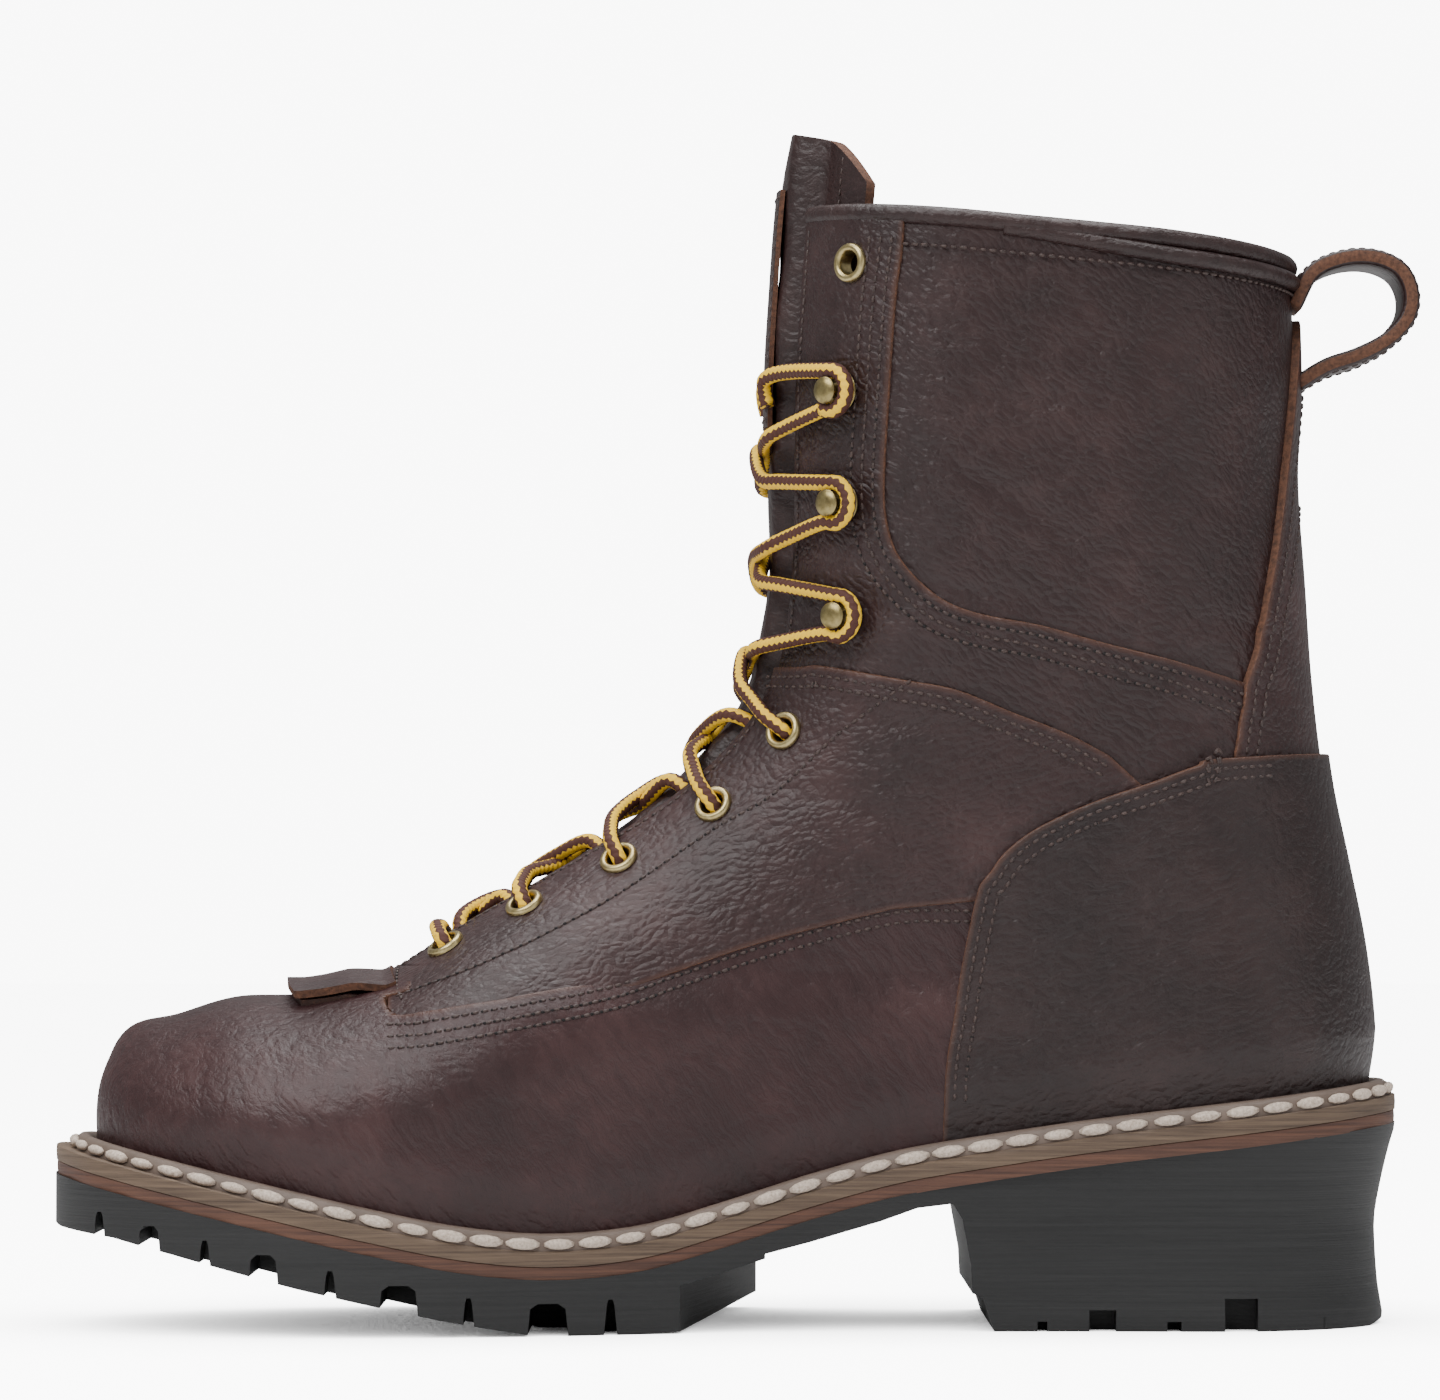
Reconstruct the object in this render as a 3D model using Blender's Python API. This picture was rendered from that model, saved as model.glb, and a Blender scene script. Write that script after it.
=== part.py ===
# Logger boot for the right foot: lug sole, welted leather upper, laced shaft and pull loop.
# Metres, +Z up. The toe points to -X and the inner side of the foot faces -Y. The origin is on
# the floor, under the middle of the heel.

import math

import bmesh
import bpy
import numpy as np
from mathutils import Matrix, Vector

# Sole
OUTSOLE_LENGTH = 0.320
HEEL_BACK = 0.0549
HEEL_LIFT = 0.0413
TREAD_BASE = 0.0054
LOWER_LAYER = 0.0022
MIDSOLE_LAYER = 0.0032
INSOLE_THICKNESS = 0.0035
BEAD_HEIGHT = 0.0044
BEAD_WIDTH = 0.0036
TOE_WELT = 0.0120
SIDE_WELT = 0.0085
HEEL_WELT = 0.0090
HEEL_WAIST = 0.0050
GROOVE_WIDTH = 0.0060
NOTCH_WIDTH = 0.0026
NOTCH_DEPTH = 0.0130
GROOVE_SLANT = math.radians(9)

# Upper
BALL_WIDTH = 0.097
SHAFT_WIDTH = 0.088
UPPER_FRONT_HEIGHT = 0.2306
UPPER_BACK_HEIGHT = 0.1973
ANKLE_SET_IN = 0.0160
TOE_SET_BACK = 0.0180
TOE_SWING = 0.0060
SIDE_BULGE = 0.0016
TOE_ROUND = 0.064
HEEL_ROUND = 0.036
SHAFT_ROUND = 0.042
WALL = 0.0022
THROAT_GAP = 0.018

# Layers sewn over the upper, from its outer face
FACING_THICKNESS = 0.0014
QUARTER_THICKNESS = 0.0019
VAMP_THICKNESS = 0.0023
COUNTER_THICKNESS = 0.0023
BACKSTAY_THICKNESS = 0.0018
BINDING_RADIUS = 0.0022

# Tongue, kiltie and pull loop
TONGUE_THICKNESS = 0.0030
TONGUE_PROUD = 0.0034
TONGUE_HALF_WIDTH = 0.032
TONGUE_RISE = 0.0215
TONGUE_START = -0.075
TONGUE_EDGE_ROUND = 0.055
PATCH_THICKNESS = 0.0012
PATCH_HALF_WIDTH = 0.0091
PATCH_START = 0.780
PATCH_END = 1.035
KILTIE_THICKNESS = 0.0026
KILTIE_HALF_WIDTH = 0.023
KILTIE_START = -0.118
KILTIE_END = -0.006
KILTIE_ROUND = 0.012
STRAP_THICKNESS = 0.0028
STRAP_WIDTH = 0.020
LOOP_REACH = 0.0255
LOOP_HEIGHT = 0.0270
LOOP_RISE = 0.9800

# Hardware and lace
EYELET_RADIUS = 0.0047
EYELET_HOLE = 0.0027
EYELET_THICKNESS = 0.0012
EYELET_INSET = 0.0085
HOOK_INSET = 0.0100
HOOK_PLATE_RADIUS = 0.0048
HOOK_PLATE = 0.0010
HOOK_STEM_RADIUS = 0.0018
HOOK_STEM = 0.0046
HOOK_CAP_RADIUS = 0.0031
HOOK_CAP = 0.0012
LACE_RADIUS = 0.0019
LACE_SPACING = 0.0064
HOOK_LACE_SPACING = 0.0052
LACE_REACH = 0.0042
LACE_STUB_CLEAR = 0.0014

# Clearance between touching pieces, and between a lace and what it passes
GAP = 0.0004
LACE_CLEAR = 0.0006

# Heights of the lace over the front: on the facings, over the tongue and round a hook
TONGUE_TOP = TONGUE_PROUD + GAP
LACE_OVER = QUARTER_THICKNESS + GAP + LACE_RADIUS + LACE_CLEAR
LACE_PROUD = TONGUE_TOP + LACE_RADIUS + LACE_CLEAR
HOOK_WRAP = HOOK_STEM_RADIUS + 2 * LACE_CLEAR + LACE_RADIUS
HOOK_WRAP_HEIGHT = FACING_THICKNESS + GAP + HOOK_PLATE + HOOK_STEM / 2

SIDE_COLUMNS = 13
FLAT_LEVEL = 8
CREST_STEPS = 4


def table(names, *rows):
    """Columns of a short table by name."""
    return dict(zip(names.split(), np.array(rows).T))


# Half widths of the foot, as shares of the ball width, from the heel's back to the toe's tip
PLAN = table(
    "run inner outer",
    (0.00, 0.345, 0.345),
    (0.15, 0.345, 0.345),
    (0.30, 0.320, 0.350),
    (0.42, 0.305, 0.385),
    (0.55, 0.375, 0.455),
    (0.65, 0.455, 0.495),
    (0.73, 0.500, 0.495),
    (0.81, 0.495, 0.475),
    (0.90, 0.460, 0.430),
    (1.00, 0.430, 0.390),
)

# Top of the outsole along its length, as a share of the heel's lift
SOLE = table(
    "run top",
    (0.000, 1.162),
    (0.103, 1.063),
    (0.172, 1.000),
    (0.237, 0.937),
    (0.306, 0.857),
    (0.372, 0.770),
    (0.440, 0.630),
    (0.506, 0.472),
    (0.562, 0.354),
    (0.628, 0.312),
    (0.693, 0.358),
    (0.759, 0.460),
    (0.828, 0.581),
    (0.897, 0.702),
    (1.000, 0.880),
)

# Underside of the outsole from the toe to the back of the heel, as shares of length and lift
UNDERSIDE = table(
    "run height",
    (1.020, 0.640),
    (0.992, 0.575),
    (0.947, 0.535),
    (0.900, 0.450),
    (0.862, 0.375),
    (0.809, 0.272),
    (0.765, 0.195),
    (0.706, 0.095),
    (0.660, 0.030),
    (0.638, 0.000),
    (0.570, 0.000),
    (0.535, 0.012),
    (0.474, 0.100),
    (0.473, 0.440),
    (0.440, 0.505),
    (0.389, 0.620),
    (0.362, 0.695),
    (0.336, 0.720),
    (0.329, 0.630),
    (0.323, 0.370),
    (0.322, 0.215),
    (0.314, 0.190),
    (0.306, 0.000),
    (0.026, 0.000),
    (0.010, 0.040),
    (-0.020, 0.060),
)

# How far the heel's side is drawn in, as a share of its waist, by height as a share of the lift
HEEL_SIDE = table(
    "height share",
    (-0.10, 0.85),
    (0.05, 0.65),
    (0.20, 0.85),
    (0.45, 1.00),
    (0.62, 1.00),
    (0.82, 0.70),
    (1.00, 0.35),
    (1.16, 0.00),
    (1.60, 0.00),
)

# Grooves across the tread and notches in its edge: place along the sole, depth left above
GROOVES = table("run", (0.923,), (0.837,), (0.739,), (0.632,))
NOTCHES = table("run", (0.880,), (0.788,), (0.686,), (0.585,))
HEEL_CUTS = table(
    "run depth width",
    (0.271, 0.056, 0.38),
    (0.227, 0.120, 1.05),
    (0.175, 0.056, 0.55),
    (0.126, 0.185, 1.30),
    (0.060, 0.070, 0.45),
)

# Back of the upper: set in from the heel's back, as a share of the ankle's set-in
BACK = table(
    "rise set_in",
    (0.00, 0.02),
    (0.08, 0.00),
    (0.18, 0.13),
    (0.28, 0.37),
    (0.38, 0.62),
    (0.50, 0.80),
    (0.62, 0.90),
    (0.75, 1.00),
    (0.85, 0.94),
    (1.00, 0.98),
)

# Wall of the toe: set back from the tip, by height as a share of the upper's front height
TOE = table(
    "rise set_back",
    (0.000, 0.00),
    (0.050, 0.02),
    (0.087, 0.14),
    (0.115, 0.34),
    (0.140, 0.66),
    (0.160, 0.88),
    (0.190, 1.00),
    (0.250, 1.00),
)

# Half width of the shaft, as a share of its width, by height up the back
SHAFT = table(
    "rise share",
    (0.00, 0.400),
    (0.20, 0.405),
    (0.38, 0.410),
    (0.50, 0.425),
    (0.70, 0.465),
    (1.00, 0.500),
    (1.20, 0.510),
)

# Levels of the upper at the toe's wall: height in front and at the back
TOE_LEVELS = table(
    "rise back",
    (0.000, 0.000),
    (0.044, 0.034),
    (0.087, 0.065),
    (0.120, 0.092),
)

# Levels on the crest, from the toe cap up the instep and the shaft. The throat opens at the
# fifth. Round is the depth over which the side rounds in to the crest, by the ball width.
CREST = table(
    "run rise round back",
    (0.9420, 0.1480, 0.29, 0.116),
    (0.8960, 0.1790, 0.29, 0.136),
    (0.8390, 0.2000, 0.31, 0.156),
    (0.7820, 0.2380, 0.35, 0.176),
    (0.7656, 0.2550, 0.37, 0.187),
    (0.7154, 0.3130, 0.43, 0.217),
    (0.6619, 0.3640, 0.49, 0.247),
    (0.6084, 0.4080, 0.54, 0.283),
    (0.5582, 0.4450, 0.56, 0.323),
    (0.5147, 0.4820, 0.56, 0.369),
    (0.4829, 0.5260, 0.53, 0.420),
    (0.4680, 0.5850, 0.48, 0.486),
    (0.4610, 0.6660, 0.44, 0.577),
    (0.4600, 0.7567, 0.43, 0.683),
    (0.4590, 0.8473, 0.43, 0.790),
    (0.4550, 0.9323, 0.43, 0.896),
    (0.4512, 1.0000, 0.43, 1.000),
)
THROAT_LEVEL = 4

# The crest's line carried on past the toe and above the collar
NOSE = table("run rise round", (1.056, 0.085, 0.29), (0.990, 0.122, 0.29))
ABOVE = table("run rise round", (0.4460, 1.065, 0.43), (0.4400, 1.130, 0.43))

# Half gap of the throat, as a share of the gap at the collar, by place up the throat
THROAT = table(
    "share gap",
    (0.00, 0.44),
    (0.06, 0.56),
    (0.30, 0.66),
    (0.50, 0.80),
    (1.00, 1.00),
)

# Edges of the panels: run from the heel's back by the foot's length, rise above the sole by the
# upper's front height
VAMP_EDGE = table(
    "run rise",
    (0.770, 0.203),
    (0.740, 0.216),
    (0.670, 0.248),
    (0.600, 0.268),
    (0.550, 0.280),
    (0.480, 0.284),
    (0.380, 0.281),
    (0.309, 0.267),
)
QUARTER_EDGE = table(
    "run rise",
    (0.600, 0.590),
    (0.4545, 0.538),
    (0.430, 0.530),
    (0.366, 0.493),
    (0.327, 0.474),
    (0.284, 0.443),
    (0.240, 0.412),
    (0.207, 0.384),
    (0.174, 0.351),
)
FACING_EDGE = table(
    "run rise",
    (0.100, 0.440),
    (0.160, 0.474),
    (0.210, 0.498),
    (0.260, 0.525),
    (0.309, 0.547),
    (0.339, 0.569),
    (0.364, 0.605),
    (0.377, 0.640),
    (0.382, 0.690),
    (0.378, 0.791),
    (0.373, 0.882),
    (0.366, 0.970),
    (0.364, 1.200),
)
COUNTER_EDGE = table(
    "run rise",
    (0.338, -0.300),
    (0.336, 0.040),
    (0.327, 0.145),
    (0.321, 0.195),
    (0.309, 0.267),
    (0.300, 0.282),
    (0.288, 0.301),
    (0.262, 0.321),
    (0.218, 0.339),
    (0.174, 0.351),
    (0.140, 0.362),
    (0.110, 0.366),
    (-0.150, 0.360),
)
VAMP_CORNER = 4
QUARTER_CORNER = 9
BACKSTAY_CORNER = 11
BACKSTAY_EDGE = table(
    "run rise",
    (0.110, 0.366),
    (0.100, 0.440),
    (0.091, 0.477),
    (0.083, 0.527),
    (0.075, 0.580),
    (0.068, 0.641),
    (0.060, 0.725),
    (0.052, 0.822),
)
BACKSTAY_FACING_CORNER = 1

# Places of the eyelets and hooks up the throat, as shares of the way from its foot to the collar
EYELETS = (0.058, 0.152, 0.262, 0.372, 0.470)
TOP_EYELET = 0.929
HOOKS = (0.557, 0.673, 0.792)

# The pull loop's middle line, from its upper end on the backstay round to its lower end
LOOP = table(
    "reach rise",
    (0.045, 0.570),
    (0.190, 0.860),
    (0.420, 0.985),
    (0.680, 1.000),
    (0.890, 0.900),
    (0.985, 0.700),
    (0.960, 0.470),
    (0.800, 0.270),
    (0.560, 0.130),
    (0.300, 0.030),
    (0.075, -0.120),
)

FOOT_LENGTH = OUTSOLE_LENGTH - TOE_WELT - HEEL_WELT
FOOT_BACK = HEEL_BACK - HEEL_WELT


def curve_at(knots, values, at):
    """Smooth curve through the knots, level past both ends."""
    at = min(max(at, knots[0]), knots[-1])
    low = min(max(int(np.searchsorted(knots, at, "right")) - 1, 0), len(knots) - 2)
    step = knots[low + 1] - knots[low]
    share = (at - knots[low]) / step

    def slope(knot):
        before, after = max(knot - 1, 0), min(knot + 1, len(knots) - 1)
        return (values[after] - values[before]) / (knots[after] - knots[before])

    rise = values[low + 1] - values[low]
    start, end = slope(low) * step, slope(low + 1) * step
    turn = start + end - 2 * rise
    return float(values[low] + share * (start + share * (rise - start + turn * (share - 1))))


def ease(share):
    share = min(max(share, 0.0), 1.0)
    return share * share * (3 - 2 * share)


def rounded(depth, power=2.0):
    """Share of the full width at this share of the rounding's depth."""
    depth = min(max(depth, 0.0), 1.0)
    return (1 - (1 - depth) ** power) ** (1 / power)


def sole_top(x):
    return HEEL_LIFT * curve_at(SOLE["run"], SOLE["top"], (HEEL_BACK - x) / OUTSOLE_LENGTH)


def seat(x):
    """Height on which the upper, the bead and the insole stand."""
    return sole_top(x) + LOWER_LAYER + MIDSOLE_LAYER + 3 * GAP


def foot_x(run):
    return FOOT_BACK - run * FOOT_LENGTH


def side_point(run, rise):
    """Point in the side view, from shares of the foot's length and the upper's height."""
    x = foot_x(run)
    return x, seat(x) + rise * UPPER_FRONT_HEIGHT


def back_rise(z):
    return (z - seat(FOOT_BACK)) / UPPER_BACK_HEIGHT


def back_x(z):
    return FOOT_BACK - ANKLE_SET_IN * curve_at(BACK["rise"], BACK["set_in"], back_rise(z))


def toe_x(z):
    tip = foot_x(1)
    rise = (z - seat(tip)) / UPPER_FRONT_HEIGHT
    return tip + TOE_SET_BACK * curve_at(TOE["rise"], TOE["set_back"], rise)


def centre(x):
    """The middle line swings to the inner side towards the toe."""
    return -TOE_SWING * ease(((FOOT_BACK - x) / FOOT_LENGTH - 0.5) / 0.5)


def crest_line():
    """The crest in the side view as rows of x, z, rounding depth."""
    rows = []
    for part in (NOSE, CREST, ABOVE):
        for run, rise, depth in zip(part["run"], part["rise"], part["round"]):
            rows.append((*side_point(run, rise), depth * BALL_WIDTH))
    rows = np.array(rows)
    knots = np.arange(len(rows), dtype=float)
    steps = np.linspace(0, len(rows) - 1, CREST_STEPS * (len(rows) - 1) + 1)
    return np.array([[curve_at(knots, rows[:, i], at) for i in range(3)] for at in steps])


CREST_LINE = crest_line()
CREST_RUN = np.concatenate(
    ([0.0], np.cumsum(np.linalg.norm(np.diff(CREST_LINE[:, :2], axis=0), axis=1)))
)
THROAT_START = float(CREST_RUN[CREST_STEPS * (len(NOSE["run"]) + THROAT_LEVEL)])
THROAT_END = float(CREST_RUN[CREST_STEPS * (len(NOSE["run"]) + len(CREST["run"]) - 1)])


def crest_depth(x, z):
    """Share of the rounding's depth at which a point lies under the crest."""
    starts, ways = CREST_LINE[:-1, :2], np.diff(CREST_LINE[:, :2], axis=0)
    away = np.array((x, z)) - starts
    along = np.clip((away * ways).sum(1) / (ways * ways).sum(1), 0, 1)
    off = away - along[:, None] * ways
    distance = np.hypot(off[:, 0], off[:, 1])
    near = int(distance.argmin())
    inside = ways[near, 1] * away[near, 0] - ways[near, 0] * away[near, 1] > 0
    depth = CREST_LINE[near, 2] + along[near] * (CREST_LINE[near + 1, 2] - CREST_LINE[near, 2])
    return float(distance[near] / depth) if inside else 0.0


def half_width(x, z, side):
    """Half width of the upper at a point of the side view."""
    rise = back_rise(z)
    foot = BALL_WIDTH * curve_at(PLAN["run"], PLAN[side], (FOOT_BACK - x) / FOOT_LENGTH)
    foot += SIDE_BULGE * ease((z - seat(x) - BEAD_HEIGHT) / (3 * BEAD_HEIGHT))
    shaft = SHAFT_WIDTH * curve_at(SHAFT["rise"], SHAFT["share"], rise)
    width = foot + (shaft - foot) * ease((rise - 0.08) / 0.50)
    heel = HEEL_ROUND + (SHAFT_ROUND - HEEL_ROUND) * ease(rise / 0.6)
    width *= rounded((back_x(z) - x) / heel)
    width *= rounded((x - toe_x(z)) / TOE_ROUND, 2.2)
    return width * rounded(crest_depth(x, z))


def throat_gap(share):
    return THROAT_GAP * curve_at(THROAT["share"], THROAT["gap"], share)


def crest_share(x, z):
    """Place up the throat of the crest's nearest point."""
    near = int(np.hypot(CREST_LINE[:, 0] - x, CREST_LINE[:, 1] - z).argmin())
    return (CREST_RUN[near] - THROAT_START) / (THROAT_END - THROAT_START)


def solve(low, high, too_small):
    """Middle of the last interval, after halving it towards where the test changes."""
    for _ in range(26):
        middle = (low + high) / 2
        low, high = (middle, high) if too_small(middle) else (low, middle)
    return (low + high) / 2


def upper_levels():
    """Front point, back point, share of the sole's own curve and whether the throat is open."""
    levels = []
    for rise, back in zip(TOE_LEVELS["rise"], TOE_LEVELS["back"]):
        z = seat(foot_x(1)) + rise * UPPER_FRONT_HEIGHT
        levels.append(((toe_x(z), z), back, False))
    for i, (run, rise, back) in enumerate(zip(CREST["run"], CREST["rise"], CREST["back"])):
        levels.append((side_point(run, rise), back, i >= THROAT_LEVEL))
    found = []
    for i, (front, back, is_open) in enumerate(levels):
        z = seat(FOOT_BACK) + back * UPPER_BACK_HEIGHT
        found.append((front, (back_x(z), z), max(0.0, 1 - i / FLAT_LEVEL), is_open))
    return found


def upper_sheet():
    """Outer face of the upper: rows of points from the inner throat edge round the heel."""
    sheet, is_open = [], []
    for front, back, bend, opened in upper_levels():

        def at(share):
            x = back[0] + (front[0] - back[0]) * share
            z = back[1] + (front[1] - back[1]) * share
            straight = seat(back[0]) + (seat(front[0]) - seat(back[0])) * share
            return x, z + bend * (seat(x) - straight)

        halves = []
        for side, sign in (("inner", -1), ("outer", 1)):
            end = 1.0
            if opened:
                gap = throat_gap(crest_share(*front))
                end = solve(0.5, 1.0, lambda share: half_width(*at(share), side) > gap)
            half = []
            for step in range(SIDE_COLUMNS + 1):
                share = end * (1 - math.cos(math.pi * step / SIDE_COLUMNS)) / 2
                x, z = at(share)
                closed_end = step == 0 or (step == SIDE_COLUMNS and not opened)
                width = 0.0 if closed_end else half_width(x, z, side)
                half.append(Vector((x, centre(x) + sign * width, z)))
            halves.append(half)
        sheet.append(halves[0][::-1] + halves[1][1:])
        is_open.append(opened)
    return sheet, is_open


def sheet_normals(sheet, is_open):
    normals = []
    for i, row in enumerate(sheet):
        below, above = sheet[max(i - 1, 0)], sheet[min(i + 1, len(sheet) - 1)]
        line = []
        for j in range(len(row)):
            up = above[j] - below[j]
            on = row[min(j + 1, len(row) - 1)] - row[max(j - 1, 0)]
            normal = on.cross(up)
            if i in (0, len(sheet) - 1):
                normal.z = 0
            line.append(normal.normalized())
        if not is_open[i]:
            line[0] = line[-1] = (line[0] + line[-1]).normalized()
        normals.append(line)
    return normals


SHEET, SHEET_OPEN = upper_sheet()
SHEET_NORMALS = sheet_normals(SHEET, SHEET_OPEN)


def material(name, colour, roughness, metallic):
    made = bpy.data.materials.new(name)
    made.use_nodes = True
    shader = made.node_tree.nodes["Principled BSDF"]
    shader.inputs["Base Color"].default_value = (*colour, 1)
    shader.inputs["Roughness"].default_value = roughness
    shader.inputs["Metallic"].default_value = metallic
    return made


def mesh_object(name, points, faces, finish=None):
    mesh = bpy.data.meshes.new(name)
    mesh.from_pydata([tuple(point) for point in points], [], faces)
    made = bmesh.new()
    made.from_mesh(mesh)
    bmesh.ops.remove_doubles(made, verts=made.verts, dist=1e-6)
    bmesh.ops.recalc_face_normals(made, faces=made.faces)
    made.to_mesh(mesh)
    made.free()
    obj = bpy.data.objects.new(name, mesh)
    bpy.context.scene.collection.objects.link(obj)
    if finish:
        mesh.materials.append(finish)
        mesh.shade_smooth()
        mesh.set_sharp_from_angle(angle=math.radians(35))
    return obj


def helper(obj):
    """Cutters and guides stay in the scene, out of the model."""
    obj.hide_render = True
    obj.display_type = "WIRE"
    return obj


def boolean(obj, other, operation):
    modifier = obj.modifiers.new(other.name, "BOOLEAN")
    modifier.operation = operation
    modifier.object = helper(other)
    return obj


def grid_faces(rows, columns, flip=False, start=0):
    faces = []
    for i in range(rows - 1):
        for j in range(columns - 1):
            a, b = start + i * columns + j, start + (i + 1) * columns + j
            if flip:
                faces += [(a, b + 1, a + 1), (a, b, b + 1)]
            else:
                faces += [(a, a + 1, b + 1), (a, b + 1, b)]
    return faces


def sheet_solid(outer, inner, is_open):
    """Closed wall between two sheets of the same rows and columns."""
    rows, columns = len(outer), len(outer[0])
    points = [point for row in outer for point in row] + [p for row in inner for p in row]
    half = rows * columns
    faces = grid_faces(rows, columns) + grid_faces(rows, columns, True, half)
    for j in range(columns - 1):
        faces.append((j, j + half, j + 1 + half, j + 1))
        top = half - columns + j
        faces.append((top, top + 1, top + 1 + half, top + half))
    for i in range(rows - 1):
        if not (is_open[i] or is_open[i + 1]):
            continue
        for j in (0, columns - 1):
            low, high = i * columns + j, (i + 1) * columns + j
            faces.append((low, high, high + half, low + half))
    return points, faces


def skin(low, high):
    """Wall between two offsets of the upper's outer face."""
    sheets = []
    for offset in (high, low):
        sheet = [
            [point + offset * normal for point, normal in zip(row, normals)]
            for row, normals in zip(SHEET, SHEET_NORMALS)
        ]
        for point in sheet[0]:
            point.z = seat(point.x)
        sheets.append(sheet)
    return sheet_solid(*sheets, SHEET_OPEN)


def prism(name, outline, near, far):
    """Side view outline carried across from y near to y far."""
    count = len(outline)
    points = [(x, near, z) for x, z in outline] + [(x, far, z) for x, z in outline]
    faces = [tuple(range(count)), tuple(range(count, 2 * count))]
    for i in range(count):
        j = (i + 1) % count
        faces.append((i, j, count + j, count + i))
    return mesh_object(name, points, faces)


def edge_line(edge, first=0, last=None, shift=0.0):
    """Points of a panel edge in the side view, moved to its left by the shift."""
    points = [Vector(side_point(*row)) for row in zip(edge["run"], edge["rise"])]
    moved = []
    for i, point in enumerate(points):
        way = points[min(i + 1, len(points) - 1)] - points[max(i - 1, 0)]
        way.normalize()
        moved.append((point.x - way.y * shift, point.y + way.x * shift))
    return moved[first:last]


FRONT_LIMIT = foot_x(1) - 0.05
BACK_LIMIT = FOOT_BACK + 0.05
LOW_LIMIT = -0.03
HIGH_LIMIT = 0.35
SIDE_LIMIT = 0.12


def vamp_outline():
    edge = edge_line(VAMP_EDGE, 0, -1, -GAP / 2)
    rear = edge_line(COUNTER_EDGE, 0, VAMP_CORNER + 1, GAP / 2)
    x = edge[0][0] - GAP / 2
    front = [(FRONT_LIMIT, LOW_LIMIT), (FRONT_LIMIT, HIGH_LIMIT), (x, HIGH_LIMIT), (x, edge[0][1])]
    return [*front, *edge[1:], *rear[::-1]]


def quarter_outline():
    low = edge_line(VAMP_EDGE, 0, -1, GAP / 2)
    top = edge_line(QUARTER_EDGE, 0, -1, -GAP / 2)
    rear = edge_line(COUNTER_EDGE, VAMP_CORNER, QUARTER_CORNER + 1, GAP / 2)
    x = low[0][0] + GAP / 2
    return [(x, top[0][1]), *top, *rear[::-1], *low[:0:-1], (x, low[0][1])]


def facing_outline():
    low = edge_line(QUARTER_EDGE, 0, -1, GAP / 2)
    high = edge_line(FACING_EDGE, 1, None, GAP / 2)
    rear = edge_line(COUNTER_EDGE, QUARTER_CORNER, BACKSTAY_CORNER, GAP / 2)
    stay = edge_line(BACKSTAY_EDGE, 0, BACKSTAY_FACING_CORNER + 1, GAP / 2)
    return [(low[0][0], HIGH_LIMIT), *low, *rear, *stay, *high]


def counter_outline():
    edge = edge_line(COUNTER_EDGE, 0, None, -GAP / 2)
    return [*edge, (BACK_LIMIT, edge[-1][1]), (BACK_LIMIT, LOW_LIMIT)]


def backstay_outline():
    edge = edge_line(BACKSTAY_EDGE, 0, None, -GAP / 2)
    low = edge_line(COUNTER_EDGE, BACKSTAY_CORNER, None, GAP / 2)
    return [*edge, (BACK_LIMIT, edge[-1][1]), (BACK_LIMIT, low[-1][1]), *low[1:][::-1]]


def panel(name, outline, thickness, finish, near=-SIDE_LIMIT, far=SIDE_LIMIT):
    """A piece of leather over the upper, with this outline in the side view."""
    obj = mesh_object(name, *skin(GAP, thickness), finish)
    cutter = prism(name + "_outline", outline, near, far)
    return boolean(obj, cutter, "INTERSECT")


def welt_width(x):
    run = (FOOT_BACK - x) / FOOT_LENGTH
    width = HEEL_WELT + (SIDE_WELT - HEEL_WELT) * ease(run / 0.3)
    return width + (TOE_WELT - SIDE_WELT) * ease((run - 0.72) / 0.28)


def ring(offset):
    """Outline of the upper's foot in plan, moved out by the offset, a function of x or a length."""
    base = SHEET[0][:-1]
    points = []
    for i, point in enumerate(base):
        way = base[(i + 1) % len(base)] - base[i - 1]
        out = Vector((-way.y, way.x)).normalized() * -1
        grow = offset(point.x) if callable(offset) else offset
        points.append((point.x + out.x * grow, point.y + out.y * grow))
    return points


def slab(name, outline, low, high, finish):
    """Layer of the sole with this plan outline, between two heights that follow x."""
    count = len(outline)
    points = [(x, y, low(x)) for x, y in outline] + [(x, y, high(x)) for x, y in outline]
    faces = []
    for i in range(count):
        j = (i + 1) % count
        faces.append((i, j, count + j, count + i))
    # The outline starts at the toe, so a point and its mirror in the list face each other
    for i in range(count // 2):
        a, b, c, d = i, i + 1, (count - i - 1) % count, (count - i) % count
        level = tuple(dict.fromkeys((a, b, c, d)))
        faces.append(level)
        faces.append(tuple(count + k for k in level))
    return mesh_object(name, points, faces, finish)


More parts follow.
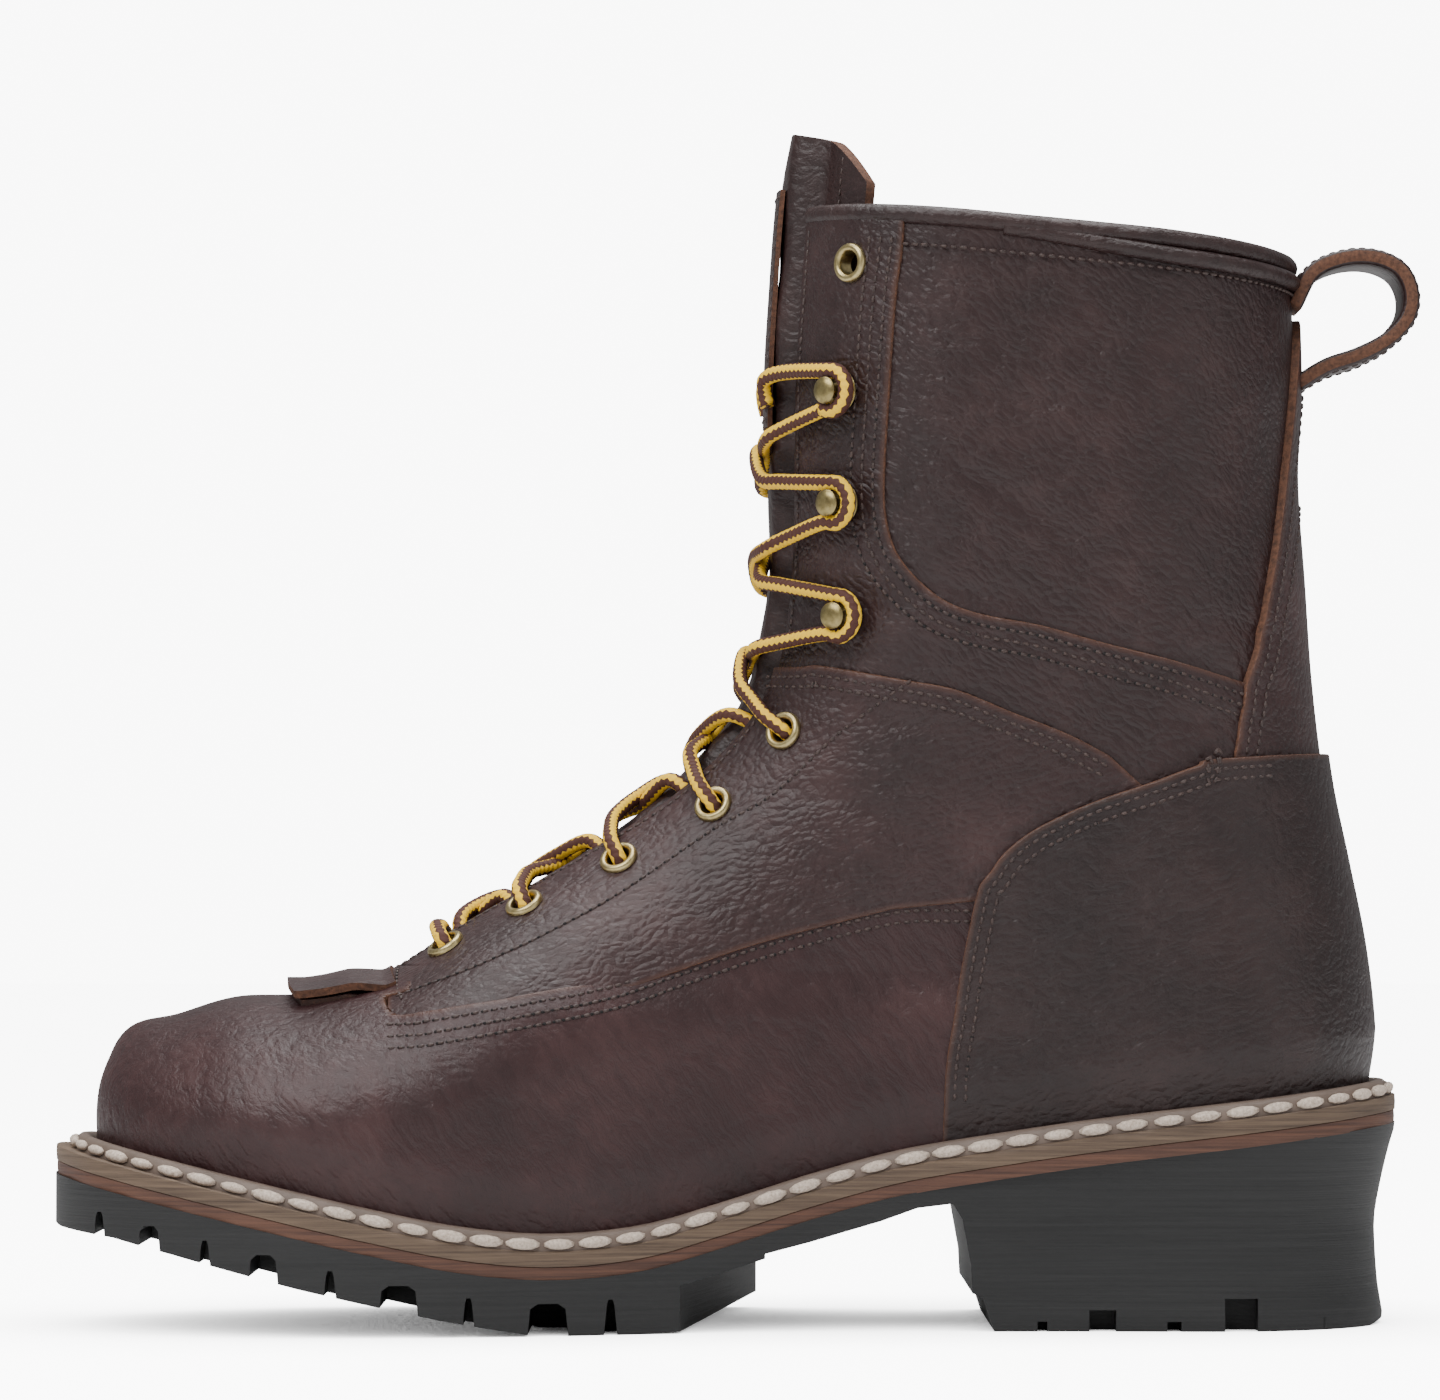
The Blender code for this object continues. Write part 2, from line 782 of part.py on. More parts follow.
def make_outsole(finish):
    stations = sorted({round(x, 6) for x, _ in ring(welt_width)})
    top = [(x, sole_top(x)) for x in stations]
    top = [(HEEL_BACK - 1.02 * OUTSOLE_LENGTH, top[0][1]), *top, (BACK_LIMIT, top[-1][1])]
    under = [
        (HEEL_BACK - run * OUTSOLE_LENGTH, height * HEEL_LIFT)
        for run, height in zip(UNDERSIDE["run"], UNDERSIDE["height"])
    ]
    under[-1] = (BACK_LIMIT, under[-1][1])
    profile = prism("outsole_profile", [*top, *under[::-1]], -SIDE_LIMIT, SIDE_LIMIT)
    levels = list(HEEL_SIDE["height"])
    points, faces = [], []
    for height, share in zip(levels, HEEL_SIDE["share"]):

        def drawn(x, share=share):
            heel = 1 - ease(((HEEL_BACK - x) / OUTSOLE_LENGTH - 0.20) / 0.20)
            return welt_width(x) - HEEL_WAIST * share * heel

        points += [(x, y, height * HEEL_LIFT) for x, y in ring(drawn)]
    count = len(points) // len(levels)
    for i in range(len(levels) - 1):
        for j in range(count):
            a, b = i * count + j, i * count + (j + 1) % count
            faces.append((a, b, b + count, a + count))
    faces += [tuple(range(count)), tuple(range(len(points) - count, len(points)))]
    obj = mesh_object("outsole", points, faces, finish)
    boolean(obj, profile, "INTERSECT")
    boolean(obj, waist_cutter(), "DIFFERENCE")
    boolean(obj, tread_cutters(), "DIFFERENCE")
    return obj


def box(points, faces, middle, size):
    """Adds a box to a list of points and faces."""
    first = len(points)
    for i in (-0.5, 0.5):
        for j in (-0.5, 0.5):
            for k in (-0.5, 0.5):
                points.append([m + share * s for m, share, s in zip(middle, (i, j, k), size)])
    for face in ((0, 1, 3, 2), (4, 6, 7, 5), (0, 4, 5, 1), (2, 3, 7, 6), (0, 2, 6, 4), (1, 5, 7, 3)):
        faces.append(tuple(first + k for k in face))


def chevron(points, faces, x, wide, reach, low, high):
    """Adds a groove across the sole that leans back on both sides of the middle line."""
    first = len(points)
    lean = reach * math.tan(GROOVE_SLANT)
    outline = (
        (x - wide / 2, 0),
        (x - wide / 2 + lean, -reach),
        (x + wide / 2 + lean, -reach),
        (x + wide / 2, 0),
        (x + wide / 2 + lean, reach),
        (x - wide / 2 + lean, reach),
    )
    count = len(outline)
    for z in (low, high):
        points.extend((px, py, z) for px, py in outline)
    faces.append((first, first + 1, first + 2, first + 3))
    faces.append((first, first + 3, first + 4, first + 5))
    faces.append(tuple(first + count + k for k in (0, 1, 2, 3)))
    faces.append(tuple(first + count + k for k in (0, 3, 4, 5)))
    for i in range(count):
        j = (i + 1) % count
        faces.append((first + i, first + j, first + count + j, first + count + i))


def tread_cutters():
    """Grooves across the tread, notches in its edge and the cuts in the heel's edge."""
    points, faces = [], []
    for run in GROOVES["run"]:
        x = HEEL_BACK - run * OUTSOLE_LENGTH
        high = sole_top(x) - TREAD_BASE
        chevron(points, faces, x, GROOVE_WIDTH, BALL_WIDTH, LOW_LIMIT, high)
    for run in NOTCHES["run"]:
        x = HEEL_BACK - run * OUTSOLE_LENGTH
        high = sole_top(x) - TREAD_BASE
        for sign, side in ((-1, "inner"), (1, "outer")):
            edge = half_width(x, seat(x), side) + welt_width(x) - NOTCH_DEPTH / 2
            middle = (x, centre(x) + sign * (edge + GROOVE_WIDTH), (high + LOW_LIMIT) / 2)
            size = (NOTCH_WIDTH, NOTCH_DEPTH + 2 * GROOVE_WIDTH, high - LOW_LIMIT)
            box(points, faces, middle, size)
    for run, share, wide in zip(HEEL_CUTS["run"], HEEL_CUTS["depth"], HEEL_CUTS["width"]):
        x = HEEL_BACK - run * OUTSOLE_LENGTH
        high = share * HEEL_LIFT
        for sign in (-1, 1):
            middle = (x, sign * SHAFT_WIDTH / 2, (high + LOW_LIMIT) / 2)
            box(points, faces, middle, (GROOVE_WIDTH * wide, NOTCH_DEPTH * 2, high - LOW_LIMIT))
    return mesh_object("tread_cutters", points, faces)


def waist_cutter():
    """The forefoot tread ends on a slant: further back on the outer side."""
    end = HEEL_BACK - 0.470 * OUTSOLE_LENGTH
    start = HEEL_BACK - 0.543 * OUTSOLE_LENGTH
    points, faces = [], []
    steps = 5
    for i in range(steps):
        x = start + (end - start) * i / (steps - 1)
        reach = SIDE_LIMIT * (i / (steps - 1) - 0.48)
        top = sole_top(x) - TREAD_BASE * 1.05
        for y in (-SIDE_LIMIT, reach):
            points += [(x, y, LOW_LIMIT), (x, y, top)]
    for i in range(steps - 1):
        a = 4 * i
        for low, high in ((0, 1), (1, 3), (3, 2), (2, 0)):
            faces.append((a + low, a + high, a + 4 + high, a + 4 + low))
    faces += [(0, 1, 3, 2), tuple(4 * (steps - 1) + k for k in (0, 2, 3, 1))]
    return mesh_object("waist_cutter", points, faces)


def make_bead(finish):
    """Storm welt: a low rounded ring round the foot of the upper."""
    start = VAMP_THICKNESS + GAP
    section = (
        (start, 0.0),
        (start + GAP, 0.9),
        (start + GAP + BEAD_WIDTH * 0.45, 1.0),
        (start + BEAD_WIDTH * 0.95, 0.55),
        (start + BEAD_WIDTH, 0.0),
    )
    points, faces = [], []
    for offset, share in section:
        points += [(x, y, seat(x) + share * BEAD_HEIGHT) for x, y in ring(offset)]
    count = len(points) // len(section)
    for i in range(len(section)):
        k = (i + 1) % len(section)
        for j in range(count):
            n = (j + 1) % count
            faces.append((i * count + j, i * count + n, k * count + n, k * count + j))
    return mesh_object("storm_welt", points, faces, finish)


def crest_point(share):
    """Point, direction and inward normal of the crest, by place up the throat."""
    run = THROAT_START + share * (THROAT_END - THROAT_START)
    at = np.array([np.interp(run, CREST_RUN, CREST_LINE[:, i]) for i in range(2)])
    reach = 0.004
    ends = [
        np.array([np.interp(run + off, CREST_RUN, CREST_LINE[:, i]) for i in range(2)])
        for off in (-reach, reach)
    ]
    way = ends[1] - ends[0]
    way = way / np.hypot(*way)
    return at, way, np.array((way[1], -way[0]))


def on_front(share, y):
    """Point of the closed upper's face at a place up the throat, y from the middle line."""
    at, _, inward = crest_point(share)
    side = "inner" if y < 0 else "outer"
    limit = 0.050

    def narrow(depth):
        return half_width(*(at + depth * inward), side) < abs(y)

    depth = solve(0.0, limit, narrow) if abs(y) > 1e-6 else 0.0
    x, z = at + depth * inward
    return Vector((x, centre(x) + y, z))


def front_frame(share, y):
    """Point, outward normal, direction up the throat and direction to the middle line."""
    point = on_front(share, y)
    step = 0.01
    reach = 0.0015
    up = on_front(share + step, y) - on_front(share - step, y)
    across = on_front(share, y + reach) - on_front(share, y - reach)
    normal = up.cross(across).normalized()
    if normal.x > 0 and normal.z < 0:
        normal.negate()
    toward = across.normalized() * (1 if y < 0 else -1)
    up = (up - up.dot(toward) * toward).normalized()
    return point, normal, up, toward


def lifted(share, y, lift):
    point, normal, _, _ = front_frame(share, y)
    return point + lift * normal


TONGUE_END = 1 + TONGUE_RISE / (THROAT_END - THROAT_START)


def tongue_lift(share, y):
    """Outer face of the tongue from the upper's: inside the facings, and proud between them."""
    inside = -(WALL + 4 * GAP + BINDING_RADIUS * 0.25 * ease((share - 0.7) / 0.3))
    gap = throat_gap(min(max(share, 0), 1))
    between = ease((gap - 0.0015 - abs(y)) / 0.0065)
    proud = TONGUE_PROUD * ease((share - 0.05) / 0.35)
    return inside + (proud - inside) * between * ease((share + 0.02) / 0.10)


def tongue_half(share):
    return TONGUE_HALF_WIDTH * (0.62 + 0.38 * ease(share / 0.8))


def front_solid(name, rows, columns, at, finish):
    """Closed wall over the front: at(i, j, face) gives a point, face 0 outside and 1 inside."""
    sheets = [[[at(i, j, face) for j in range(columns)] for i in range(rows)] for face in (0, 1)]
    points, faces = sheet_solid(*sheets, [True] * rows)
    return mesh_object(name, points, faces, finish)


def make_tongue(finish):
    rows, columns = 16, 11

    def at(i, j, face):
        q = 2 * j / (columns - 1) - 1
        q = math.copysign(abs(q) ** 0.9, q)
        end = TONGUE_END - TONGUE_EDGE_ROUND * abs(q) ** 3
        share = TONGUE_START + (end - TONGUE_START) * i / (rows - 1)
        y = tongue_half(share) * q
        lift = tongue_lift(share, y) - face * TONGUE_THICKNESS
        return lifted(share, y, lift)

    return front_solid("tongue", rows, columns, at, finish)


def make_patch(finish):
    """Sewn patch on the tongue's front, left bare."""
    rows, columns = 7, 5

    def at(i, j, face):
        share = PATCH_START + (PATCH_END - PATCH_START) * i / (rows - 1)
        y = PATCH_HALF_WIDTH * (2 * j / (columns - 1) - 1)
        lift = TONGUE_TOP + (1 - face) * PATCH_THICKNESS
        return lifted(share, y, lift)

    return front_solid("tongue_patch", rows, columns, at, finish)


def make_kiltie(finish):
    """Folded leaf at the foot of the throat, lying on the vamp."""
    rows, columns = 6, 9

    def at(i, j, face):
        q = 2 * j / (columns - 1) - 1
        start = KILTIE_START + KILTIE_ROUND * abs(q)
        share = start + (KILTIE_END - start) * i / (rows - 1)
        y = KILTIE_HALF_WIDTH * q * (0.86 + 0.14 * i / (rows - 1))
        lift = VAMP_THICKNESS + 3 * GAP + (1 - face) * KILTIE_THICKNESS
        return lifted(share, y, lift)

    return front_solid("kiltie", rows, columns, at, finish)


def turned(name, profile, place, finish, sides=8):
    """Ring or stud turned about the outward normal of its place on the front."""
    point, normal, up, _ = place
    across = normal.cross(up).normalized()
    frame = Matrix((up, across, normal)).transposed().to_4x4()
    frame.translation = point
    points, faces = [], []
    closed = profile[0][0] > 0
    count = len(profile)
    for i in range(sides):
        angle = 2 * math.pi * i / sides
        for radius, height in profile:
            points.append((radius * math.cos(angle), radius * math.sin(angle), height))
    for i in range(sides):
        k = (i + 1) % sides
        for j in range(count if closed else count - 1):
            n = (j + 1) % count
            faces.append((i * count + j, i * count + n, k * count + n, k * count + j))
    obj = mesh_object(name, points, faces, finish)
    obj.data.transform(frame)
    return obj


def make_eyelet(name, share, sign, over, finish):
    base = over + 2 * GAP
    profile = (
        (EYELET_HOLE, base),
        (EYELET_RADIUS, base),
        (EYELET_RADIUS * 0.86, base + EYELET_THICKNESS),
        (EYELET_HOLE * 1.15, base + EYELET_THICKNESS),
    )
    place = front_frame(share, sign * (throat_gap(share) + EYELET_INSET))
    return turned(name, profile, place, finish)


def make_hook(name, share, sign, finish):
    base = FACING_THICKNESS + GAP
    stem = base + HOOK_PLATE
    cap = stem + HOOK_STEM
    profile = (
        (0.0, base),
        (HOOK_PLATE_RADIUS, base),
        (HOOK_PLATE_RADIUS * 0.9, stem),
        (HOOK_STEM_RADIUS, stem),
        (HOOK_STEM_RADIUS, cap),
        (HOOK_CAP_RADIUS, cap),
        (HOOK_CAP_RADIUS * 0.8, cap + HOOK_CAP),
        (0.0, cap + HOOK_CAP),
    )
    place = front_frame(share, sign * (throat_gap(share) + HOOK_INSET))
    return turned(name, profile, place, finish)


def smooth_path(route, spacing):
    """Points along a smooth curve through the route's own points."""
    route = np.array([tuple(point) for point in route])
    knots = np.concatenate(([0.0], np.cumsum(np.linalg.norm(np.diff(route, axis=0), axis=1))))
    count = max(2, int(math.ceil(knots[-1] / spacing)))
    return [
        Vector([curve_at(knots, route[:, i], at) for i in range(3)])
        for at in np.linspace(0, knots[-1], count + 1)
    ]


def tube(name, path, radius, finish=None, sides=6):
    """Closed round tube along a path."""
    points, faces = [], []
    side = Vector((0, 0, 1))
    for i, point in enumerate(path):
        way = (path[min(i + 1, len(path) - 1)] - path[max(i - 1, 0)]).normalized()
        side = (side - side.dot(way) * way).normalized()
        other = way.cross(side)
        for k in range(sides):
            angle = 2 * math.pi * k / sides
            points.append(point + radius * (math.cos(angle) * side + math.sin(angle) * other))
    for i in range(len(path) - 1):
        for k in range(sides):
            n = (k + 1) % sides
            a, b = i * sides, (i + 1) * sides
            faces.append((a + k, a + n, b + n, b + k))
    faces += [tuple(range(sides)), tuple(range(len(points) - sides, len(points)))]
    return mesh_object(name, points, faces, finish)


def over_edge(share, sign):
    """Lace points from beside an eyelet over the facing's edge."""
    gap = throat_gap(share)
    clear = EYELET_INSET - EYELET_RADIUS - LACE_RADIUS - LACE_STUB_CLEAR
    return [
        lifted(share, sign * (gap + clear), LACE_OVER),
        lifted(share + 0.003, sign * gap, LACE_OVER),
        lifted(share + 0.012, sign * (gap - 0.004), LACE_OVER + 0.0006),
    ]


def under_edge(share, sign):
    """Lace points that dip towards the far facing and stop clear of it."""
    gap = throat_gap(share)
    return [
        lifted(share - 0.014, sign * (gap - 0.0065), LACE_PROUD - 0.0003),
        lifted(share - 0.006, sign * (gap - LACE_REACH), LACE_PROUD - 0.0012),
    ]


def hook_turn(share, sign, angles):
    """Lace points round a hook's stem: angles from the front, rising upward."""
    point, normal, up, toward = front_frame(share, sign * (throat_gap(share) + HOOK_INSET))
    found = []
    for angle in angles:
        turn = math.radians(angle)
        ray = math.cos(turn) * toward + math.sin(turn) * up
        found.append(point + HOOK_WRAP * ray + HOOK_WRAP_HEIGHT * normal)
    return found


def to_hook(share, sign):
    """Lace points that come in over the facing's edge to the underside of a hook."""
    gap = throat_gap(share)
    return [
        lifted(share - 0.045, sign * (gap - 0.003), LACE_PROUD + 0.0004),
        lifted(share - 0.034, sign * (gap + 0.003), LACE_OVER + 0.0008),
    ]


def from_hook(share, sign):
    gap = throat_gap(share)
    turn = hook_turn(share, sign, (-62, -105, -150, 165, 120, 75))
    return [
        *turn,
        lifted(share + 0.026, sign * (gap + 0.002), LACE_OVER + 0.0010),
        lifted(share + 0.030, sign * (gap - 0.005), LACE_PROUD + 0.0004),
    ]


def make_crossings(finish):
    """One joined solid for each pair of laces that cross over the tongue."""
    starts = [under_edge, over_edge, over_edge, over_edge, over_edge, from_hook, from_hook]
    ends = [under_edge, under_edge, under_edge, under_edge, to_hook, to_hook, to_hook]
    places = [*EYELETS, *HOOKS]
    made = []
    for i, (start, end) in enumerate(zip(starts, ends)):
        low, high = places[i], places[i + 1]
        middle = (low + high) / 2
        halves = []
        for sign in (-1, 1):
            first = start(low, sign)
            if start is under_edge:
                first = [lifted(low + 0.026, sign * (throat_gap(low) - 0.005), LACE_PROUD)]
            route = [
                *first,
                lifted(middle, 0.0, LACE_PROUD + 0.0012),
                *end(high, -sign),
            ]
            path = smooth_path(route, LACE_SPACING if i < 4 else HOOK_LACE_SPACING)
            if sign < 0:
                halves.append(tube(f"lace_crossing_{i + 1}", path, LACE_RADIUS, finish))
            else:
                halves.append(tube(f"lace_crossing_{i + 1}_outer", path, LACE_RADIUS))
        made.append(boolean(halves[0], halves[1], "UNION"))
    return made


def make_bar(finish):
    """The lowest lace: straight across, outside the facings."""
    share = EYELETS[0]
    gap = throat_gap(share)
    reach = gap + EYELET_INSET - EYELET_RADIUS - LACE_RADIUS - LACE_STUB_CLEAR
    route = [
        lifted(share, -reach, LACE_OVER),
        lifted(share, -gap + 0.002, LACE_OVER),
        lifted(share, 0.0, LACE_PROUD),
        lifted(share, gap - 0.002, LACE_OVER),
        lifted(share, reach, LACE_OVER),
    ]
    return tube("lace_bar", smooth_path(route, LACE_SPACING), LACE_RADIUS, finish)


def lace_end_route(sign):
    """The end goes round the top hook and is tucked behind the facing's edge."""
    share = HOOKS[-1]
    gap = throat_gap(share)
    turn = hook_turn(share, sign, (-62, -105, -150, 165, 120, 75))
    return [
        *turn,
        lifted(share + 0.024, sign * (gap + 0.001), LACE_OVER + 0.0010),
        lifted(share + 0.018, sign * (gap - 0.005), LACE_PROUD + 0.0004),
        lifted(share + 0.004, sign * (gap - 0.0062), LACE_PROUD),
        lifted(share - 0.010, sign * (gap - 0.0056), LACE_PROUD - 0.0006),
    ]


def make_lace_end(name, sign, finish):
    path = smooth_path(lace_end_route(sign), HOOK_LACE_SPACING)
    curve = bpy.data.curves.new(name, "CURVE")
    curve.dimensions = "3D"
    spline = curve.splines.new("POLY")
    spline.points.add(len(path) - 1)
    for place, point in zip(spline.points, path):
        place.co = (*point, 1)
    curve.bevel_depth = LACE_RADIUS
    curve.bevel_resolution = 2
    curve.use_fill_caps = True
    curve.materials.append(finish)
    obj = bpy.data.objects.new(name, curve)
    bpy.context.scene.collection.objects.link(obj)
    return obj


def make_binding(finish):
    """Rolled binding on the collar's rim."""
    path = []
    for point, normal in zip(SHEET[-1], SHEET_NORMALS[-1]):
        middle = point - normal * WALL / 2
        path.append(middle + Vector((0, 0, GAP + BINDING_RADIUS)))
    return tube("collar_binding", path[1:-1], BINDING_RADIUS, finish)


def make_pull_loop(finish):
    """Strap folded into a loop, its ends sewn to the backstay."""
    low = seat(FOOT_BACK) + LOOP_RISE * UPPER_BACK_HEIGHT - LOOP_HEIGHT * 0.72
    knots = np.arange(len(LOOP["reach"]), dtype=float)
    start = back_x(low + LOOP_HEIGHT / 2) + BACKSTAY_THICKNESS + GAP + STRAP_THICKNESS / 2
    line = []
    for at in np.linspace(0, len(knots) - 1, 21):
        x = start + LOOP_REACH * curve_at(knots, LOOP["reach"], at)
        z = low + LOOP_HEIGHT * curve_at(knots, LOOP["rise"], at)
        line.append(Vector((x, z)))
    outer, inner = [], []
    for i, point in enumerate(line):
        way = (line[min(i + 1, len(line) - 1)] - line[max(i - 1, 0)]).normalized()
        out = Vector((-way.y, way.x)) * STRAP_THICKNESS / 2
        outer.append(point + out)
        inner.append(point - out)
    outline = outer + inner[::-1]
    count = len(outline)
    points = [(p.x, y, p.y) for y in (-STRAP_WIDTH / 2, STRAP_WIDTH / 2) for p in outline]
    faces = []
    for i in range(count):
        j = (i + 1) % count
        faces.append((i, j, count + j, count + i))
    for i in range(len(line) - 1):
        a, b = count - 1 - i, count - 2 - i
        faces.append((i, i + 1, b, a))
        faces.append((count + i, count + i + 1, count + b, count + a))
    return mesh_object("pull_loop", points, faces, finish)


def build():
    for obj in list(bpy.data.objects):
        bpy.data.objects.remove(obj)

    rubber = material("rubber", (0.028, 0.029, 0.030), 0.75, 0.0)
    leather = material("leather", (0.070, 0.040, 0.038), 0.45, 0.0)
    dark = material("counter_leather", (0.042, 0.026, 0.025), 0.45, 0.0)
    layers = material("sole_leather", (0.210, 0.125, 0.065), 0.70, 0.0)
    stained = material("stained_leather", (0.140, 0.055, 0.030), 0.70, 0.0)
    rand = material("welt_leather", (0.155, 0.105, 0.075), 0.65, 0.0)
    lining = material("lining_leather", (0.250, 0.150, 0.085), 0.70, 0.0)
    brass = material("antique_brass", (0.330, 0.240, 0.090), 0.35, 1.0)
    yellow = material("lace_cord", (0.850, 0.560, 0.060), 0.80, 0.0)

    make_outsole(rubber)
    edge = ring(lambda x: welt_width(x) - 0.0010)
    slab(
        "midsole_lower",
        edge,
        lambda x: sole_top(x) + GAP,
        lambda x: sole_top(x) + GAP + LOWER_LAYER,
        stained,
    )
    slab(
        "midsole",
        edge,
        lambda x: sole_top(x) + 2 * GAP + LOWER_LAYER,
        lambda x: sole_top(x) + 2 * GAP + LOWER_LAYER + MIDSOLE_LAYER,
        layers,
    )
    make_bead(rand)
    slab(
        "insole",
        ring(-WALL - 2 * GAP),
        lambda x: seat(x) + GAP,
        lambda x: seat(x) + GAP + INSOLE_THICKNESS,
        lining,
    )

    mesh_object("upper", *skin(-WALL, 0.0), leather)
    panel("vamp", vamp_outline(), VAMP_THICKNESS, leather)
    for name, near, far in (("inner", -SIDE_LIMIT, 0), ("outer", 0, SIDE_LIMIT)):
        panel("quarter_" + name, quarter_outline(), QUARTER_THICKNESS, leather, near, far)
        panel("facing_" + name, facing_outline(), FACING_THICKNESS, leather, near, far)
    panel("heel_counter", counter_outline(), COUNTER_THICKNESS, dark)
    panel("backstay", backstay_outline(), BACKSTAY_THICKNESS, leather)
    make_binding(leather)
    make_tongue(lining)
    make_patch(leather)
    make_kiltie(leather)
    make_pull_loop(leather)

    for side, sign in (("inner", -1), ("outer", 1)):
        for i, share in enumerate(EYELETS):
            make_eyelet(f"eyelet_{side}_{i + 1}", share, sign, QUARTER_THICKNESS, brass)
        make_eyelet(f"eyelet_{side}_6", TOP_EYELET, sign, FACING_THICKNESS, brass)
        for i, share in enumerate(HOOKS):
            make_hook(f"hook_{side}_{i + 1}", share, sign, brass)
        make_lace_end(f"lace_end_{side}", sign, yellow)
    make_bar(yellow)
    make_crossings(yellow)


build()
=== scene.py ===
import math

import bmesh
import bpy
import numpy as np
from mathutils import Matrix, Vector


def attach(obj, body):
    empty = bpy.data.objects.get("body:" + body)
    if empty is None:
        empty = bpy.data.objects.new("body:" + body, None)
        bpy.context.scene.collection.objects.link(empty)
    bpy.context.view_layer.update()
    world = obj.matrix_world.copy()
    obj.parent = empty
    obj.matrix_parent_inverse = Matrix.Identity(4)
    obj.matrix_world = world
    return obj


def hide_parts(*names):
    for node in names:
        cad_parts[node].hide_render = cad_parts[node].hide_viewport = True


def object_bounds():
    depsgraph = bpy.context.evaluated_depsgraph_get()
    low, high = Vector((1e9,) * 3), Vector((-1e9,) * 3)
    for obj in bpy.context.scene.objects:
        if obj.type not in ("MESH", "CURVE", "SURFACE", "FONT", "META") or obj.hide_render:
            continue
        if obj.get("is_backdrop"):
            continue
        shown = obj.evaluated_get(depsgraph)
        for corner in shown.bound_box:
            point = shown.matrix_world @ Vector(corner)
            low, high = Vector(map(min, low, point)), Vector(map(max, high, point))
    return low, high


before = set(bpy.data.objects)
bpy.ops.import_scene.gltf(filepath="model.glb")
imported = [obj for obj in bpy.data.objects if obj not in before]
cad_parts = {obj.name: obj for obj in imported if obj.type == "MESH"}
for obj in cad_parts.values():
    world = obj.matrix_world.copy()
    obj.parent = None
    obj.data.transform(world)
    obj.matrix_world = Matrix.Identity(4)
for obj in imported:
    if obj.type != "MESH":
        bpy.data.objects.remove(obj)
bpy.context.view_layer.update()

# Sole
outsoleLength = 0.320
heelBack = 0.0549
heelLift = 0.0413
treadBase = 0.0054
lowerLayer = 0.0022
midsoleLayer = 0.0032
beadHeight = 0.0044
toeWelt = 0.0120
sideWelt = 0.0085
heelWelt = 0.0090
heelWaist = 0.0050
grooveWidth = 0.0060
notchDepth = 0.0130

# Upper
ballWidth = 0.097
shaftWidth = 0.088
upperFrontHeight = 0.2306
upperBackHeight = 0.1973
ankleSetIn = 0.0160
toeSetBack = 0.0180
toeSwing = 0.0060
sideBulge = 0.0016
toeRound = 0.064
heelRound = 0.036
shaftRound = 0.042
wallThick = 0.0022
throatGap = 0.018

# Layers sewn over the upper, from its outer face
facingThickness = 0.0014
quarterThickness = 0.0019
bindingRadius = 0.0022

# Tongue, kiltie and pull loop
tongueThickness = 0.0030
tongueProud = 0.0034
tongueHalfWidth = 0.032
tongueRise = 0.0215
tongueStart = -0.075
tongueEdgeRound = 0.055
patchThickness = 0.0012
patchHalfWidth = 0.0091
patchStart = 0.780
patchEnd = 1.035
kiltieHalfWidth = 0.023
strapThickness = 0.0028
strapWidth = 0.020
loopReach = 0.0255
loopHeight = 0.0270
loopRise = 0.9800

# Hardware and lace
eyeletRadius = 0.0047
eyeletHole = 0.0027
eyeletThickness = 0.0012
eyeletInset = 0.0085
hookInset = 0.0150
topInset = 0.0155
hookPlateRadius = 0.0048
hookPlate = 0.0010
hookStemRadius = 0.0018
hookStem = 0.0046
hookCapRadius = 0.0031
laceRadius = 0.0019

# Clearance between touching pieces, and between a lace and what it passes
seamGap = 0.0004
laceClear = 0.0006

# Heights of the lace over the front: on the facings, over the tongue and round a hook
tongueTop = tongueProud + seamGap
laceOver = quarterThickness + seamGap + laceRadius + laceClear
laceProud = tongueTop + laceRadius + laceClear
hookWrap = hookStemRadius + 2 * laceClear + laceRadius
hookWrapHeight = facingThickness + seamGap + hookPlate + hookStem / 2

flatLevel = 8
crestSteps = 4


def table(names, *rows):
    return dict(zip(names.split(), np.array(rows).T))


# Half widths of the foot, as shares of the ball width, from the heel's back to the toe's tip
planTable = table(
    "run inner outer",
    (0.00, 0.345, 0.345),
    (0.15, 0.345, 0.345),
    (0.30, 0.320, 0.350),
    (0.42, 0.305, 0.385),
    (0.55, 0.375, 0.455),
    (0.65, 0.455, 0.495),
    (0.73, 0.500, 0.495),
    (0.81, 0.495, 0.475),
    (0.90, 0.460, 0.430),
    (1.00, 0.430, 0.390),
)

# Top of the outsole along its length, as a share of the heel's lift
soleTable = table(
    "run top",
    (0.000, 1.162),
    (0.103, 1.063),
    (0.172, 1.000),
    (0.237, 0.937),
    (0.306, 0.857),
    (0.372, 0.770),
    (0.440, 0.630),
    (0.506, 0.472),
    (0.562, 0.354),
    (0.628, 0.312),
    (0.693, 0.358),
    (0.759, 0.460),
    (0.828, 0.581),
    (0.897, 0.702),
    (1.000, 0.880),
)

# Underside of the outsole from the toe to the back of the heel, as shares of length and lift
undersideTable = table(
    "run height",
    (1.020, 0.640),
    (0.992, 0.575),
    (0.947, 0.535),
    (0.900, 0.450),
    (0.862, 0.375),
    (0.809, 0.272),
    (0.765, 0.195),
    (0.706, 0.095),
    (0.660, 0.030),
    (0.638, 0.000),
    (0.570, 0.000),
    (0.535, 0.012),
    (0.474, 0.100),
    (0.473, 0.440),
    (0.440, 0.505),
    (0.389, 0.620),
    (0.362, 0.695),
    (0.336, 0.720),
    (0.329, 0.630),
    (0.323, 0.370),
    (0.322, 0.215),
    (0.314, 0.190),
    (0.306, 0.000),
    (0.026, 0.000),
    (0.010, 0.040),
    (-0.020, 0.060),
)

